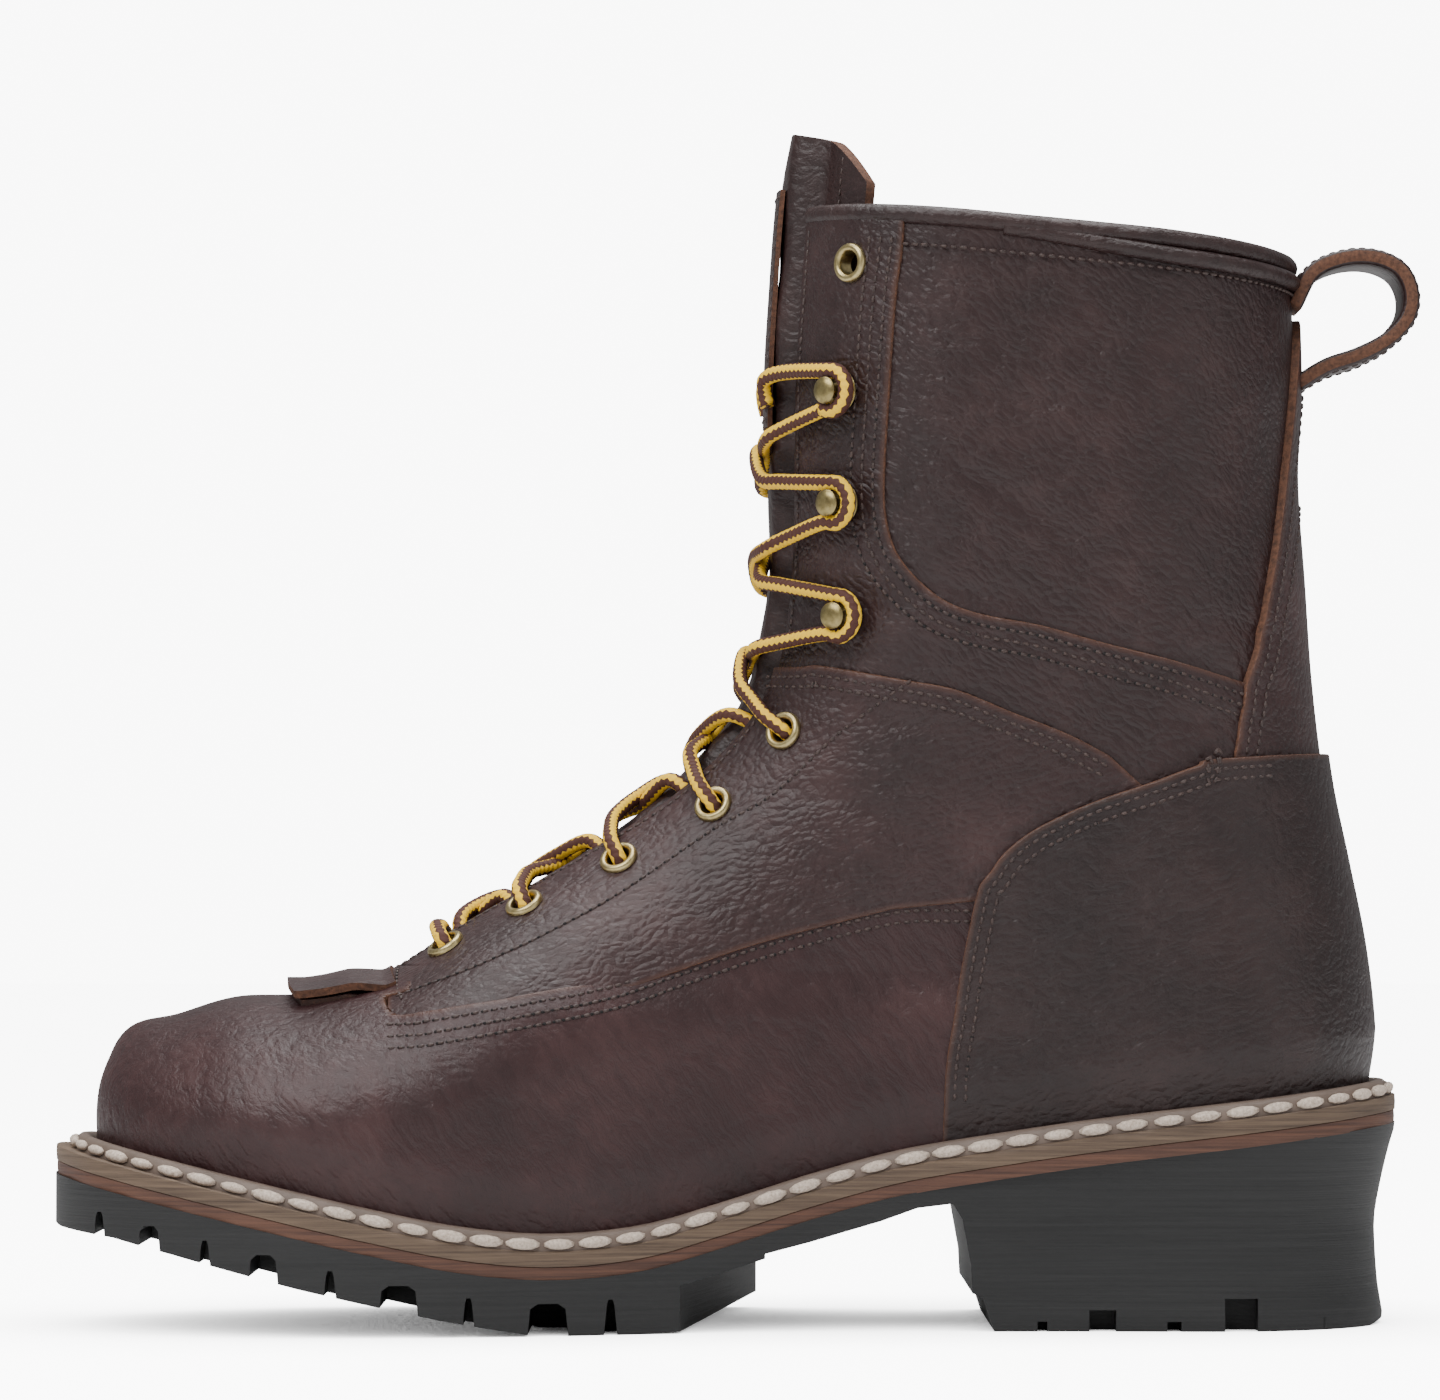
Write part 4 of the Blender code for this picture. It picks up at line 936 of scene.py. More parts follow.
for brassy in (paleBrass, hookBrass):
    brassy.node_tree.nodes["Principled BSDF"].inputs["Metallic"].default_value = 1.0
laceMaterial = braid()
print("materials made")

# Fine sheet of the upper, shared by every panel

sheetUser = {"shutRows": 70, "openRows": 150, "columns": 110, "crest": 0.009}
creaseUser = {
    # x, z, x, z in mm, half width mm, depth mm
    "soft": (
        (-56, 208, -20, 181, 3.2, 0.9),
        (-50, 222, -18, 214, 2.6, 0.45),
        (-40, 190, -6, 172, 2.6, 0.5),
        (-8, 205, 20, 190, 2.6, 0.4),
        (-62, 176, -30, 168, 3.0, 0.6),
        (2, 168, 27, 160, 2.4, 0.6),
        (-2, 158, 27, 149, 2.6, 0.7),
        (-6, 147, 22, 139, 2.4, 0.45),
        (-82, 150, -56, 138, 3.2, 0.6),
        (-92, 128, -60, 116, 3.4, 0.5),
        (-138, 72, -150, 92, 3.0, 0.45),
        (-150, 66, -163, 84, 3.0, 0.40),
        (-124, 66, -132, 88, 3.4, 0.40),
        (-30, 232, 4, 228, 2.4, 0.35),
    ),
}


def creases(points):
    # Soft troughs with a low ridge on each side, in metres
    found = np.zeros(len(points))
    for x1, z1, x2, z2, wide, depth in creaseUser["soft"]:
        a, b = np.array((x1, z1)) / 1000, np.array((x2, z2)) / 1000
        way = b - a
        share = np.clip(((points - a) @ way) / (way @ way), 0, 1)
        bow = 0.0016 * np.sin(share * 5.0 + x1)
        off = points - a - share[:, None] * way
        side = off @ np.array((-way[1], way[0])) / np.hypot(*way) + bow
        past = np.abs(off @ way) / np.hypot(*way)
        near = (side ** 2 + past ** 2) / (wide / 1000) ** 2
        fade = np.clip(4 * share * (1 - share) + 0.15, 0, 1)
        found += -depth / 1000 * fade * (np.exp(-near) - 0.38 * np.exp(-near / 5))
    return found


def fineSheet():
    levels = upperLevels()
    knots = np.arange(len(levels), dtype=float)
    keys = np.array([(*front, *back, bend) for front, back, bend, _ in levels])
    opens = next(i for i, level in enumerate(levels) if level[3])
    columns = sheetUser["columns"]
    grid, isOpen = [], []
    shutStops = np.linspace(0, opens - 0.02, sheetUser["shutRows"])
    stops = np.concatenate((shutStops, np.linspace(opens, knots[-1], sheetUser["openRows"])))
    for at in stops:
        fx, fz, bx, bz, bend = [curveAt(knots, keys[:, i], at) for i in range(5)]
        opened = at >= opens - 1e-9
        low, high = seat(bx), seat(fx)

        def place(share):
            x = bx + (fx - bx) * share
            z = bz + (fz - bz) * share
            return x, z + bend * (seat(x) - low - (high - low) * share)

        halves = []
        for side, sign in (("inner", -1), ("outer", 1)):
            end = 1.0
            if opened:
                gap = throatGapAt(crestShare(fx, fz))
                end = solve(0.5, 1.0, lambda share: halfWidth(*place(share), side) > gap)
            half = []
            for step in range(columns + 1):
                x, z = place(end * (1 - math.cos(math.pi * step / columns)) / 2)
                closedEnd = step == 0 or (step == columns and not opened)
                half.append((x, 0.0 if closedEnd else sign * halfWidth(x, z, side), z))
            halves.append(half)
        row = halves[0][::-1] + halves[1][1:]
        grid.append(row)
        isOpen.append(opened)
    grid = np.array(grid)
    sway = np.array([[centre(x) for x in row] for row in grid[:, :, 0]])
    grid[:, :, 1] += sway
    on = np.gradient(grid, axis=1)
    up = np.gradient(grid, axis=0)
    normal = np.cross(on, up)
    normal /= np.linalg.norm(normal, axis=2, keepdims=True) + 1e-12
    shut = ~np.array(isOpen)
    # Both sides turn to one normal at the crest, along the middle plane
    for row in np.flatnonzero(shut):
        way = grid[min(row + 1, len(grid) - 1), 0] - grid[max(row - 1, 0), 0]
        middle = np.array((-way[2], 0.0, way[0]))
        middle /= np.linalg.norm(middle) + 1e-12
        near = np.clip(
            1 - np.linalg.norm(grid[row] - grid[row, 0], axis=1) / sheetUser["crest"], 0, 1
        )[:, None]
        normal[row] = normal[row] * (1 - near) + middle * near
        normal[row] /= np.linalg.norm(normal[row], axis=1, keepdims=True) + 1e-12
    return grid, normal


sheetGrid, sheetNormal = fineSheet()
rowCount, columnCount = sheetGrid.shape[:2]
print("upper sheet", sheetGrid.shape)
flatGrid = sheetGrid.reshape(-1, 3)
flatNormal = sheetNormal.reshape(-1, 3)
sideView = flatGrid[:, [0, 2]]
folds = creases(sideView)
# The creases fade at the crest, where both sides meet
folds *= np.clip(np.abs(flatNormal[:, 1]) * 1.6, 0, 1)
base = flatGrid + flatNormal * folds[:, None]
index = np.arange(len(flatGrid)).reshape(rowCount, columnCount)
a, b = index[:-1, :-1].ravel(), index[:-1, 1:].ravel()
c, d = index[1:, 1:].ravel(), index[1:, :-1].ravel()
sheetFaces = np.concatenate((np.stack((a, b, c), 1), np.stack((a, c, d), 1)))


def sideEdge(edge, shift=0.0, first=0, last=None, steps=8):
    points = np.array([sidePoint(*row) for row in zip(edge["run"], edge["rise"])])[first:last]
    knots = np.arange(len(points), dtype=float)
    at = np.linspace(0, len(points) - 1, steps * (len(points) - 1) + 1)
    line = np.array([[curveAt(knots, points[:, i], k) for i in range(2)] for k in at])
    way = np.gradient(line, axis=0)
    way /= np.linalg.norm(way, axis=1, keepdims=True)
    return line + shift * np.stack((-way[:, 1], way[:, 0]), 1)


def outlineDistance(outline, points):
    # Distance to the outline, positive inside it
    outline = np.asarray(outline, float)
    ends = np.roll(outline, -1, axis=0)
    best = np.full(len(points), 1e9)
    inside = np.zeros(len(points), bool)
    x, z = points[:, 0], points[:, 1]
    for (ax, az), (bx, bz) in zip(outline, ends):
        way = np.array((bx - ax, bz - az))
        size = way @ way
        if size < 1e-14:
            continue
        share = np.clip(((x - ax) * way[0] + (z - az) * way[1]) / size, 0, 1)
        best = np.minimum(best, np.hypot(x - ax - share * way[0], z - az - share * way[1]))
        crosses = (az > z) != (bz > z)
        if bz != az:
            inside ^= crosses & (x < (bx - ax) * (z - az) / (bz - az) + ax)
    return np.where(inside, best, -best)


def clipped(points, normals, values, faces, distance, cut):
    # Keeps what lies more than cut inside, with new points on the cut
    keep = distance > cut
    kind = keep[faces].sum(1)
    kept = [tuple(f) for f in faces[kind == 3]]
    points, normals, values = list(points), list(normals), list(values)
    distance = list(distance)
    made = {}

    def between(i, j):
        key = (min(i, j), max(i, j))
        if key not in made:
            share = (cut - distance[i]) / (distance[j] - distance[i])
            made[key] = len(points)
            points.append(points[i] + share * (points[j] - points[i]))
            turned = normals[i] + share * (normals[j] - normals[i])
            normals.append(turned / (np.linalg.norm(turned) + 1e-12))
            values.append(values[i] + share * (values[j] - values[i]))
            distance.append(cut)
        return made[key]

    for f in faces[(kind == 1) | (kind == 2)]:
        for turn in range(3):
            i, j, k = np.roll(f, -turn)
            if keep[i] and not keep[j] and not keep[k]:
                kept.append((i, between(i, j), between(i, k)))
            elif not keep[i] and keep[j] and keep[k]:
                p, q = between(i, j), between(i, k)
                kept += [(p, j, k), (p, k, q)]
    kept = np.array(kept)
    used, faces = np.unique(kept, return_inverse=True)
    faces = faces.reshape(-1, 3)
    pick = [np.array(part)[used] for part in (points, normals, values)]
    # Points that lie on each other, and those of slivers, become one
    _, first, back = np.unique(
        np.round(pick[0] / 2e-5).astype(np.int64), axis=0, return_index=True, return_inverse=True
    )
    faces = back.reshape(-1)[faces]
    good = (faces[:, 0] != faces[:, 1]) & (faces[:, 1] != faces[:, 2]) & (faces[:, 0] != faces[:, 2])
    return pick[0][first], pick[1][first], pick[2][first], faces[good]


def rims(points, normals, faces, rings):
    # Rings of new points out from the open border: (outward, offset) for each ring
    directed = np.concatenate((faces[:, [0, 1]], faces[:, [1, 2]], faces[:, [2, 0]]))
    count = len(points)
    keys = set((directed[:, 0] * count + directed[:, 1]).tolist())
    border = [(a, b) for a, b in directed.tolist() if b * count + a not in keys]
    way = np.zeros((count, 3))
    for a, b in border:
        step = points[b] - points[a]
        way[a] += step
        way[b] += step
    for _ in range(4):
        again = way.copy()
        for a, b in border:
            again[a] += way[b] * 0.6
            again[b] += way[a] * 0.6
        way = again / (np.linalg.norm(again, axis=1, keepdims=True) + 1e-12)
    out = np.cross(way, normals)
    out /= np.linalg.norm(out, axis=1, keepdims=True) + 1e-12
    ids = sorted({i for edge in border for i in edge})
    order = {i: k for k, i in enumerate(ids)}
    new, quads = [], []
    for away, lift in rings:
        new.append(points[ids] + out[ids] * away + normals[ids] * lift)
    for r in range(len(rings)):
        for a, b in border:
            if r == 0:
                low = (a, b)
            else:
                low = (count + (r - 1) * len(ids) + order[a], count + (r - 1) * len(ids) + order[b])
            high = (count + r * len(ids) + order[a], count + r * len(ids) + order[b])
            quads.append((r, (low[1], low[0], high[0], high[1])))
    return np.concatenate(new), quads, ids


def layer(name, outline, top, mat, low=-0.0002, holes=(), inside=None, nodes=()):
    # A piece of leather over the upper: top is its height above the upper's face
    cut = 0.0004
    distance = np.full(len(base), 1.0) if outline is None else outlineDistance(outline, sideView)
    for middle, radius in holes:
        distance = np.minimum(distance, np.linalg.norm(base - np.array(middle), axis=1) - radius)
    height = top(sideView[:, 0], sideView[:, 1]) if callable(top) else np.full(len(base), top)
    values = np.stack((distance, height), 1)
    points, normals, values, faces = clipped(base, flatNormal, values, sheetFaces, distance, cut)
    lifts = values[:, 1]
    rings = ((0.00028, -0.00012), (0.0004, -0.00045), (0.0004, -0.0012))
    outer = points + normals * lifts[:, None]
    extra, quads, border = rims(outer, normals, faces, rings)
    # The last ring goes right down to the layer's own foot
    drop = (lifts[border] - low + rings[-1][1])[:, None]
    extra[-len(border):] -= normals[border] * drop
    allPoints = np.concatenate((outer, extra))
    allFaces = [tuple(f) for f in faces] + [q for _, q in quads]
    slots = [0] * len(faces) + [0 if r == 0 else 1 for r, _ in quads]
    near = np.concatenate((values[:, 0], np.zeros(len(extra))))
    if inside is not None:
        first = len(allPoints)
        allPoints = np.concatenate((allPoints, points + normals * low))
        allFaces += [(f[0] + first, f[2] + first, f[1] + first) for f in faces.tolist()]
        slots += [2] * len(faces)
        near = np.concatenate((near, np.ones(len(points))))
    mats = [mat, rawEdge] + ([inside] if inside is not None else [])
    obj = meshFrom(name, allPoints, allFaces, mats, slots, {"edge": near}, weld=0)
    return settle(obj, *nodes)


# Panels, from the lowest up. Each runs a little under the one above it.
panelUser = {
    "facing": 0.0010,
    "quarter": 0.0021,
    "vamp": 0.0031,
    "vampFoot": 0.0024,
    "vampThin": 0.0016,
    "counter": 0.0041,
    "counterFoot": 0.0026,
    "footRise": 0.012,
    "backstay": 0.0020,
    "under": 0.004,
    "punch": 0.0033,
}
frontLimit, backLimit = footX(1) - 0.05, footBack + 0.05
lowLimit, highLimit, sideLimit = -0.03, 0.35, 0.12
under = panelUser["under"]
soleX = np.linspace(frontLimit, backLimit, 80)
soleZ = np.array([seat(x) + beadHeight for x in soleX])


def eyeletPlace(share, sign, inset=eyeletInset):
    return frontFrame(share, sign * (throatGapAt(share) + inset))


eyeletHoles = []
for sign in (-1, 1):
    for share in eyeletShares:
        eyeletHoles.append((tuple(eyeletPlace(share, sign)[0]), panelUser["punch"]))
    eyeletHoles.append((tuple(eyeletPlace(topEyelet, sign, topInset)[0]), panelUser["punch"]))

layer("upperWall", None, 0.0, shaftLeather, -wallThick, eyeletHoles, liningLeather, ["upper"])

low = sideEdge(quarterEdge, -under, 0, -1)
high = sideEdge(facingEdge, 0.0, 1)
rear = sideEdge(counterEdge, -under, quarterCorner, backstayCorner)
stay = sideEdge(backstayEdge, -under, 0, backstayFacingCorner + 1, 3)
facingShape = [(low[0][0] - 0.05, highLimit), (low[0][0] - 0.05, low[0][1]), *low, *rear, *stay, *high]
layer(
    "facings", facingShape, panelUser["facing"], shaftLeather, holes=eyeletHoles,
    nodes=["facing_inner", "facing_outer"]
)

stayLine = sideEdge(backstayEdge)
stayLow = sideEdge(counterEdge, -under, backstayCorner)
stayShape = [*stayLine, (backLimit, stayLine[-1][1]), (backLimit, stayLow[-1][1]), *stayLow[1:][::-1]]
layer("backstayPanel", stayShape, panelUser["backstay"], quarterLeather, nodes=["backstay"])

vampLine = sideEdge(vampEdge, 0.0, 0, -1)
quarterLow = sideEdge(vampEdge, -under, 0, -1)
quarterTop = sideEdge(quarterEdge, 0.0, 0, -1)
quarterRear = sideEdge(counterEdge, -under, vampCorner, quarterCorner + 1)
frontX = vampLine[0][0]
cornerTop = quarterTop[0]
quarterShape = [
    (frontX, highLimit), (cornerTop[0] - 0.004, highLimit), (cornerTop[0] - 0.002, cornerTop[1] + 0.002),
    *quarterTop, *quarterRear[::-1], *quarterLow[:0:-1], (frontX, quarterLow[0][1])
]
layer(
    "quarters", quarterShape, panelUser["quarter"], quarterLeather, holes=eyeletHoles,
    nodes=["quarter_inner", "quarter_outer"]
)


def overFoot(x, z):
    # None at the welt, all of it a little higher up
    return np.clip((z - np.interp(x, soleX, soleZ)) / panelUser["footRise"], 0, 1)


def vampTop(x, z):
    # Thins out over the instep, where the quarters and the leaf lie on it
    rise = np.clip((z - vampLine[0][1] - 0.002) / 0.010, 0, 1) * np.clip((x - frontX + 0.035) / 0.02, 0, 1)
    low, foot = panelUser["vampFoot"], overFoot(x, z)
    return low + (panelUser["vamp"] - low) * foot - panelUser["vampThin"] * rise * foot


def counterTop(x, z):
    low = panelUser["counterFoot"]
    return low + (panelUser["counter"] - low) * overFoot(x, z)


vampRear = sideEdge(counterEdge, -under, 0, vampCorner + 1)
vampShape = [
    (frontLimit, lowLimit), (frontLimit, highLimit), (frontX + 0.006, highLimit),
    (frontX + 0.006, vampLine[0][1] + 0.006), (frontX - 0.001, vampLine[0][1] + 0.004), *vampLine[1:],
    *vampRear[::-1]
]
layer("vampPanel", vampShape, vampTop, vampLeather, nodes=["vamp"])

counterLine = sideEdge(counterEdge)
counterShape = [*counterLine, (backLimit, counterLine[-1][1]), (backLimit, lowLimit)]
layer("heelCounter", counterShape, counterTop, counterLeather, nodes=["heel_counter"])
print("panels made")


# Stitches: one node tree for every row

def stitchTree():
    tree = bpy.data.node_groups.new("stitchRow", "GeometryNodeTree")
    face = tree.interface
    face.new_socket("Geometry", in_out="INPUT", socket_type="NodeSocketGeometry")
    keys = {}
    for key, kind in (
        ("Pitch", "NodeSocketFloat"), ("Length", "NodeSocketFloat"), ("Thick", "NodeSocketFloat"),
        ("Seed", "NodeSocketInt"), ("Thread", "NodeSocketMaterial")
    ):
        keys[key] = face.new_socket(key, in_out="INPUT", socket_type=kind).identifier
    face.new_socket("Geometry", in_out="OUTPUT", socket_type="NodeSocketGeometry")
    given = tree.nodes.new("NodeGroupInput")
    out = tree.nodes.new("NodeGroupOutput")
    spaced = addNode(tree, "GeometryNodeResampleCurve", mode="LENGTH")
    join(tree, given, "Geometry", spaced, "Curve")
    join(tree, given, "Pitch", spaced, "Length")
    bead = addNode(tree, "GeometryNodeMeshUVSphere", {"Segments": 8, "Rings": 5, "Radius": 1.0})
    size = tree.nodes.new("ShaderNodeCombineXYZ")
    for key, socket in (("X", "Length"), ("Y", "Thick"), ("Z", "Thick")):
        join(tree, given, socket, size, key)
    half = addNode(tree, "ShaderNodeVectorMath", operation="SCALE")
    half.inputs["Scale"].default_value = 0.5
    join(tree, size, "Vector", half, 0)
    tangent = tree.nodes.new("GeometryNodeInputTangent")
    turn = addNode(tree, "FunctionNodeAlignRotationToVector", axis="X")
    join(tree, tangent, "Tangent", turn, "Vector")
    chance = addNode(tree, "FunctionNodeRandomValue", data_type="FLOAT")
    chance.inputs[2].default_value = 0.88
    chance.inputs[3].default_value = 1.08
    join(tree, given, "Seed", chance, "Seed")
    varied = addNode(tree, "ShaderNodeVectorMath", operation="SCALE")
    join(tree, half, "Vector", varied, 0)
    join(tree, chance, 1, varied, "Scale")
    placed = tree.nodes.new("GeometryNodeInstanceOnPoints")
    join(tree, spaced, "Curve", placed, "Points")
    join(tree, bead, "Mesh", placed, "Instance")
    join(tree, turn, "Rotation", placed, "Rotation")
    join(tree, varied, "Vector", placed, "Scale")
    real = tree.nodes.new("GeometryNodeRealizeInstances")
    join(tree, placed, "Instances", real, "Geometry")
    dressed = tree.nodes.new("GeometryNodeSetMaterial")
    join(tree, real, "Geometry", dressed, "Geometry")
    join(tree, given, "Thread", dressed, "Material")
    join(tree, dressed, "Geometry", out, "Geometry")
    return tree, keys


stitchNodes, stitchKeys = stitchTree()


def stitchRows(name, rows, pitch, length, thick, mat, seed=3):
    curve = bpy.data.curves.new(name + "Rows", "CURVE")
    curve.dimensions = "3D"
    for row in rows:
        spline = curve.splines.new("POLY")
        spline.points.add(len(row) - 1)
        for point, place in zip(spline.points, row):
            point.co = (*map(float, place), 1)
    guide = linked(name + "Rows", curve)
    work = guide.modifiers.new("stitches", "NODES")
    work.node_group = stitchNodes
    for key, value in (
        ("Pitch", pitch), ("Length", length), ("Thick", thick), ("Seed", seed), ("Thread", mat)
    ):
        work[stitchKeys[key]] = value
    obj = linked(name, evaluated(guide))
    bpy.data.objects.remove(guide)
    obj.data.shade_smooth()
    return settle(obj)


def onSide(x, z, side, lift):
    # Point over the upper's face at a place in the side view
    sign = -1 if side == "inner" else 1
    step = 0.0012
    width = halfWidth(x, z, side)
    slopeX = (halfWidth(x + step, z, side) - halfWidth(x - step, z, side)) / (2 * step)
    slopeZ = (halfWidth(x, z + step, side) - halfWidth(x, z - step, side)) / (2 * step)
    normal = Vector((-slopeX, sign, -slopeZ)).normalized()
    lift += float(creases(np.array([(x, z)]))[0]) * min(abs(normal.y) * 1.6, 1)
    return Vector((x, centre(x) + sign * width, z)) + float(lift) * normal


rimOrder = np.argsort(sheetGrid[-1, :, 0])
rimX, rimZ = sheetGrid[-1, rimOrder, 0], sheetGrid[-1, rimOrder, 2]


def seams(line, shifts, lift, trim=(0.0, 1.0)):
    # Rows inside an edge, on both sides of the boot. Positive shifts go left of the line.
    rows = []
    way = np.gradient(line, axis=0)
    way /= np.linalg.norm(way, axis=1, keepdims=True) + 1e-12
    left = np.stack((-way[:, 1], way[:, 0]), 1)
    first, last = int(trim[0] * (len(line) - 1)), int(trim[1] * (len(line) - 1)) + 1
    for shift in shifts:
        moved = (line + shift * left)[first:last]
        for side in ("inner", "outer"):
            row = []
            for x, z in moved:
                high = lift(np.array([x]), np.array([z]))[0] if callable(lift) else lift
                if halfWidth(x, z, side) > 0.004 and z < np.interp(x, rimX, rimZ) - 0.004:
                    row.append(onSide(x, z, side, high))
            if len(row) > 2:
                rows.append(row)
    return rows


seamUser = {
    "pitch": 0.0023, "length": 0.0019, "thick": 0.00085, "hole": 0.00095, "first": 0.0024, "step": 0.0025
}
one, two, three = (seamUser["first"] + i * seamUser["step"] for i in range(3))
vampSeam = seams(sideEdge(vampEdge)[1:], (-one, -two, -three), vampTop, (0.01, 0.99))
quarterSeam = seams(quarterTop, (-one, -two), panelUser["quarter"], (0.03, 1.0))
facingLine = sideEdge(facingEdge, 0.0, 0, None)
facingSeam = seams(facingLine, (one, two, three), panelUser["facing"], (0.0, 0.945))
counterSeam = seams(counterLine, (-one, -two), counterTop, (0.10, 0.93))
staySeam = seams(stayLine, (-one, -two), panelUser["backstay"], (0.02, 1.0))


# Rows on the quarter, in the photo's pixels: these run along the laces and round the tab
photoUser = {
    "scale": 4170,
    "column": 720,
    "row": 903,
    "x": -0.107,
    "z": 0.100,
    "instep": ((411, 1000), (503, 963), (610, 907), (713, 837), (775, 799), (840, 738), (906, 687)),
    "tab": ((420, 946), (409, 956), (406, 975), (408, 992), (413, 1002)),
}


def sideRow(points, lift):
    scale = photoUser["scale"]
    across = [(column - photoUser["column"]) / scale + photoUser["x"] for column, _ in points]
    height = [photoUser["z"] + (photoUser["row"] - row) / scale for _, row in points]
    line = np.stack((across, height), 1)
    knots = np.arange(len(line), dtype=float)
    at = np.linspace(0, len(line) - 1, 8 * (len(line) - 1) + 1)
    smooth = np.array([[curveAt(knots, line[:, i], k) for i in range(2)] for k in at])
    return seams(smooth, (0.0,), lift)


instepSeam = sideRow(photoUser["instep"], panelUser["quarter"])
tabSeam = sideRow(photoUser["tab"], panelUser["quarter"])
throatSeamUser = {"quarter": (0.0016, 0.01, 0.48), "facing": (0.0018, 0.54, 0.985), "points": 60}
edgeSeam = []
for sign in (-1, 1):
    for panel in ("quarter", "facing"):
        inset, start, end = throatSeamUser[panel]
        stops = np.linspace(start, end, throatSeamUser["points"])
        edgeSeam.append([lifted(s, sign * (throatGapAt(s) + inset), panelUser[panel]) for s in stops])
allSeams = vampSeam + quarterSeam + facingSeam + counterSeam + staySeam + instepSeam + tabSeam + edgeSeam
seamStitch = (seamUser["pitch"], seamUser["length"], seamUser["thick"])
stitchRows("upperStitches", allSeams, *seamStitch, threadDark)


def halfOn(rows, pitch):
    # The same rows, begun half a pitch later, for the needle holes
    moved = []
    for row in rows:
        gone = 0.0
        for i in range(1, len(row)):
            gone += (Vector(row[i]) - Vector(row[i - 1])).length
            if gone >= pitch / 2:
                moved.append(row[i:])
                break
    return [row for row in moved if len(row) > 2]


# Dark beads half a pitch along each row stand in for the needle holes: painted shade, not cut holes
holeRows = halfOn(allSeams, seamUser["pitch"])
stitchRows(
    "needleHoles", holeRows, seamUser["pitch"], seamUser["hole"], seamUser["hole"] * 0.75, paintedHoleShade, 5
)
print("seams sewn")


# Sole

soleUser = {"points": 90, "weltStitch": (0.0086, 0.0081, 0.0027)}


def footRing(offset, count=None):
    # Outline of the upper's foot in plan, moved out by a length or a function of x
    count = count or soleUser["points"]
    stops = np.linspace(0, math.pi, count + 1)
    back, front = backX(seat(footBack)), toeX(seat(footX(1)))
    points = []
    for side, sign in (("inner", -1), ("outer", 1)):
        half = []
        for stop in stops:
            x = back + (front - back) * (1 - math.cos(stop)) / 2
            width = halfWidth(x, seat(x), side) if 0 < stop < math.pi else 0.0
            half.append((x, centre(x) + sign * width))
        points += half[::-1][:-1] if side == "inner" else half[:-1]
    points = np.array(points)
    way = np.roll(points, -1, axis=0) - np.roll(points, 1, axis=0)
    way /= np.linalg.norm(way, axis=1, keepdims=True)
    out = np.stack((way[:, 1], -way[:, 0]), 1)
    if (out * (points - points.mean(0))).sum() < 0:
        out = -out
    grow = np.array([offset(x) if callable(offset) else offset for x in points[:, 0]])
    return points + out * grow[:, None]


def band(name, sections, mat, closed=True, node=None):
    # Ring with a section of (plan points, heights) pairs, joined round
    points, faces = [], []
    for plan, heights in sections:
        points += [(x, y, z) for (x, y), z in zip(plan, heights)]
    count = len(points) // len(sections)
    for i in range(len(sections) if closed else len(sections) - 1):
        k = (i + 1) % len(sections)
        for j in range(count):
            n = (j + 1) % count
            faces.append((i * count + j, i * count + n, k * count + n, k * count + j))
    if not closed:
        for i, first in ((0, 0), (1, len(points) - count)):
            for j in range(count // 2):
                quad = (
                    first + j, first + j + 1, first + (count - j - 1) % count, first + (count - j) % count
                )
                faces.append(tuple(dict.fromkeys(quad)))
    obj = recalc(meshFrom(name, points, faces, (mat,), weld=1e-7))
    obj.data.set_sharp_from_angle(angle=math.radians(50))
    return settle(obj, *([node] if node else []))


def sanded(name, lowAt, highAt, inset, mat, node, bulge=0.0001):
    # Layer of the sole with slightly rounded, uneven edges
    sections = []
    for share, pull in ((0.0, 0.0), (0.5, -bulge), (0.94, 0.0), (1.0, 0.0003)):
        plan = footRing(
            lambda x: weltWidth(x) - inset - pull + 0.00025 * math.sin(61 * x * 10 + inset * 900)
        )
        heights = [lowAt(x) + share * (highAt(x) - lowAt(x)) for x in plan[:, 0]]
        sections.append((plan, heights))
    return band(name, sections, mat, False, node)


lowTop = 2 * seamGap + lowerLayer
highTop = lowTop + seamGap + midsoleLayer
layers = (
    ("lowerMidsole", -0.0002, lowTop, 0.0004, lowerLeather, "midsole_lower"),
    ("midsoleLayer", lowTop, highTop, 0.0002, midsoleLeather, "midsole"),
)
for name, low, high, pull, mat, node in layers:
    sanded(name, lambda x, up=low: soleTop(x) + up, lambda x, up=high: soleTop(x) + up, pull, mat, node)

beadUser = {
    "middle": 0.0050, "half": 0.0026, "rows": 9, "square": 0.8, "stitchOut": 0.0076, "stitchUp": 0.0016
}
beadSections = []
for share in np.linspace(0, 1, beadUser["rows"]):
    turn = math.pi * share
    plan = footRing(beadUser["middle"] - beadUser["half"] * math.cos(turn))
    rise = beadHeight * math.sin(turn) ** beadUser["square"]
    beadSections.append((plan, [seat(x) - 0.0004 + rise for x in plan[:, 0]]))
band("stormWelt", beadSections, randLeather, True, "storm_welt")

pitch, length, thick = soleUser["weltStitch"]
weltRow = [(x, y, seat(x) + beadUser["stitchUp"]) for x, y in footRing(beadUser["stitchOut"])]
stitchRows("weltStitches", [weltRow + weltRow[:1]], pitch, length, thick, threadPale, 7)


def box(points, faces, middle, size):
    first = len(points)
    for i in (-0.5, 0.5):
        for j in (-0.5, 0.5):
            for k in (-0.5, 0.5):
                points.append([m + share * s for m, share, s in zip(middle, (i, j, k), size)])
    for face in ((0, 1, 3, 2), (4, 6, 7, 5), (0, 4, 5, 1), (2, 3, 7, 6), (0, 2, 6, 4), (1, 5, 7, 3)):
        faces.append(tuple(first + k for k in face))


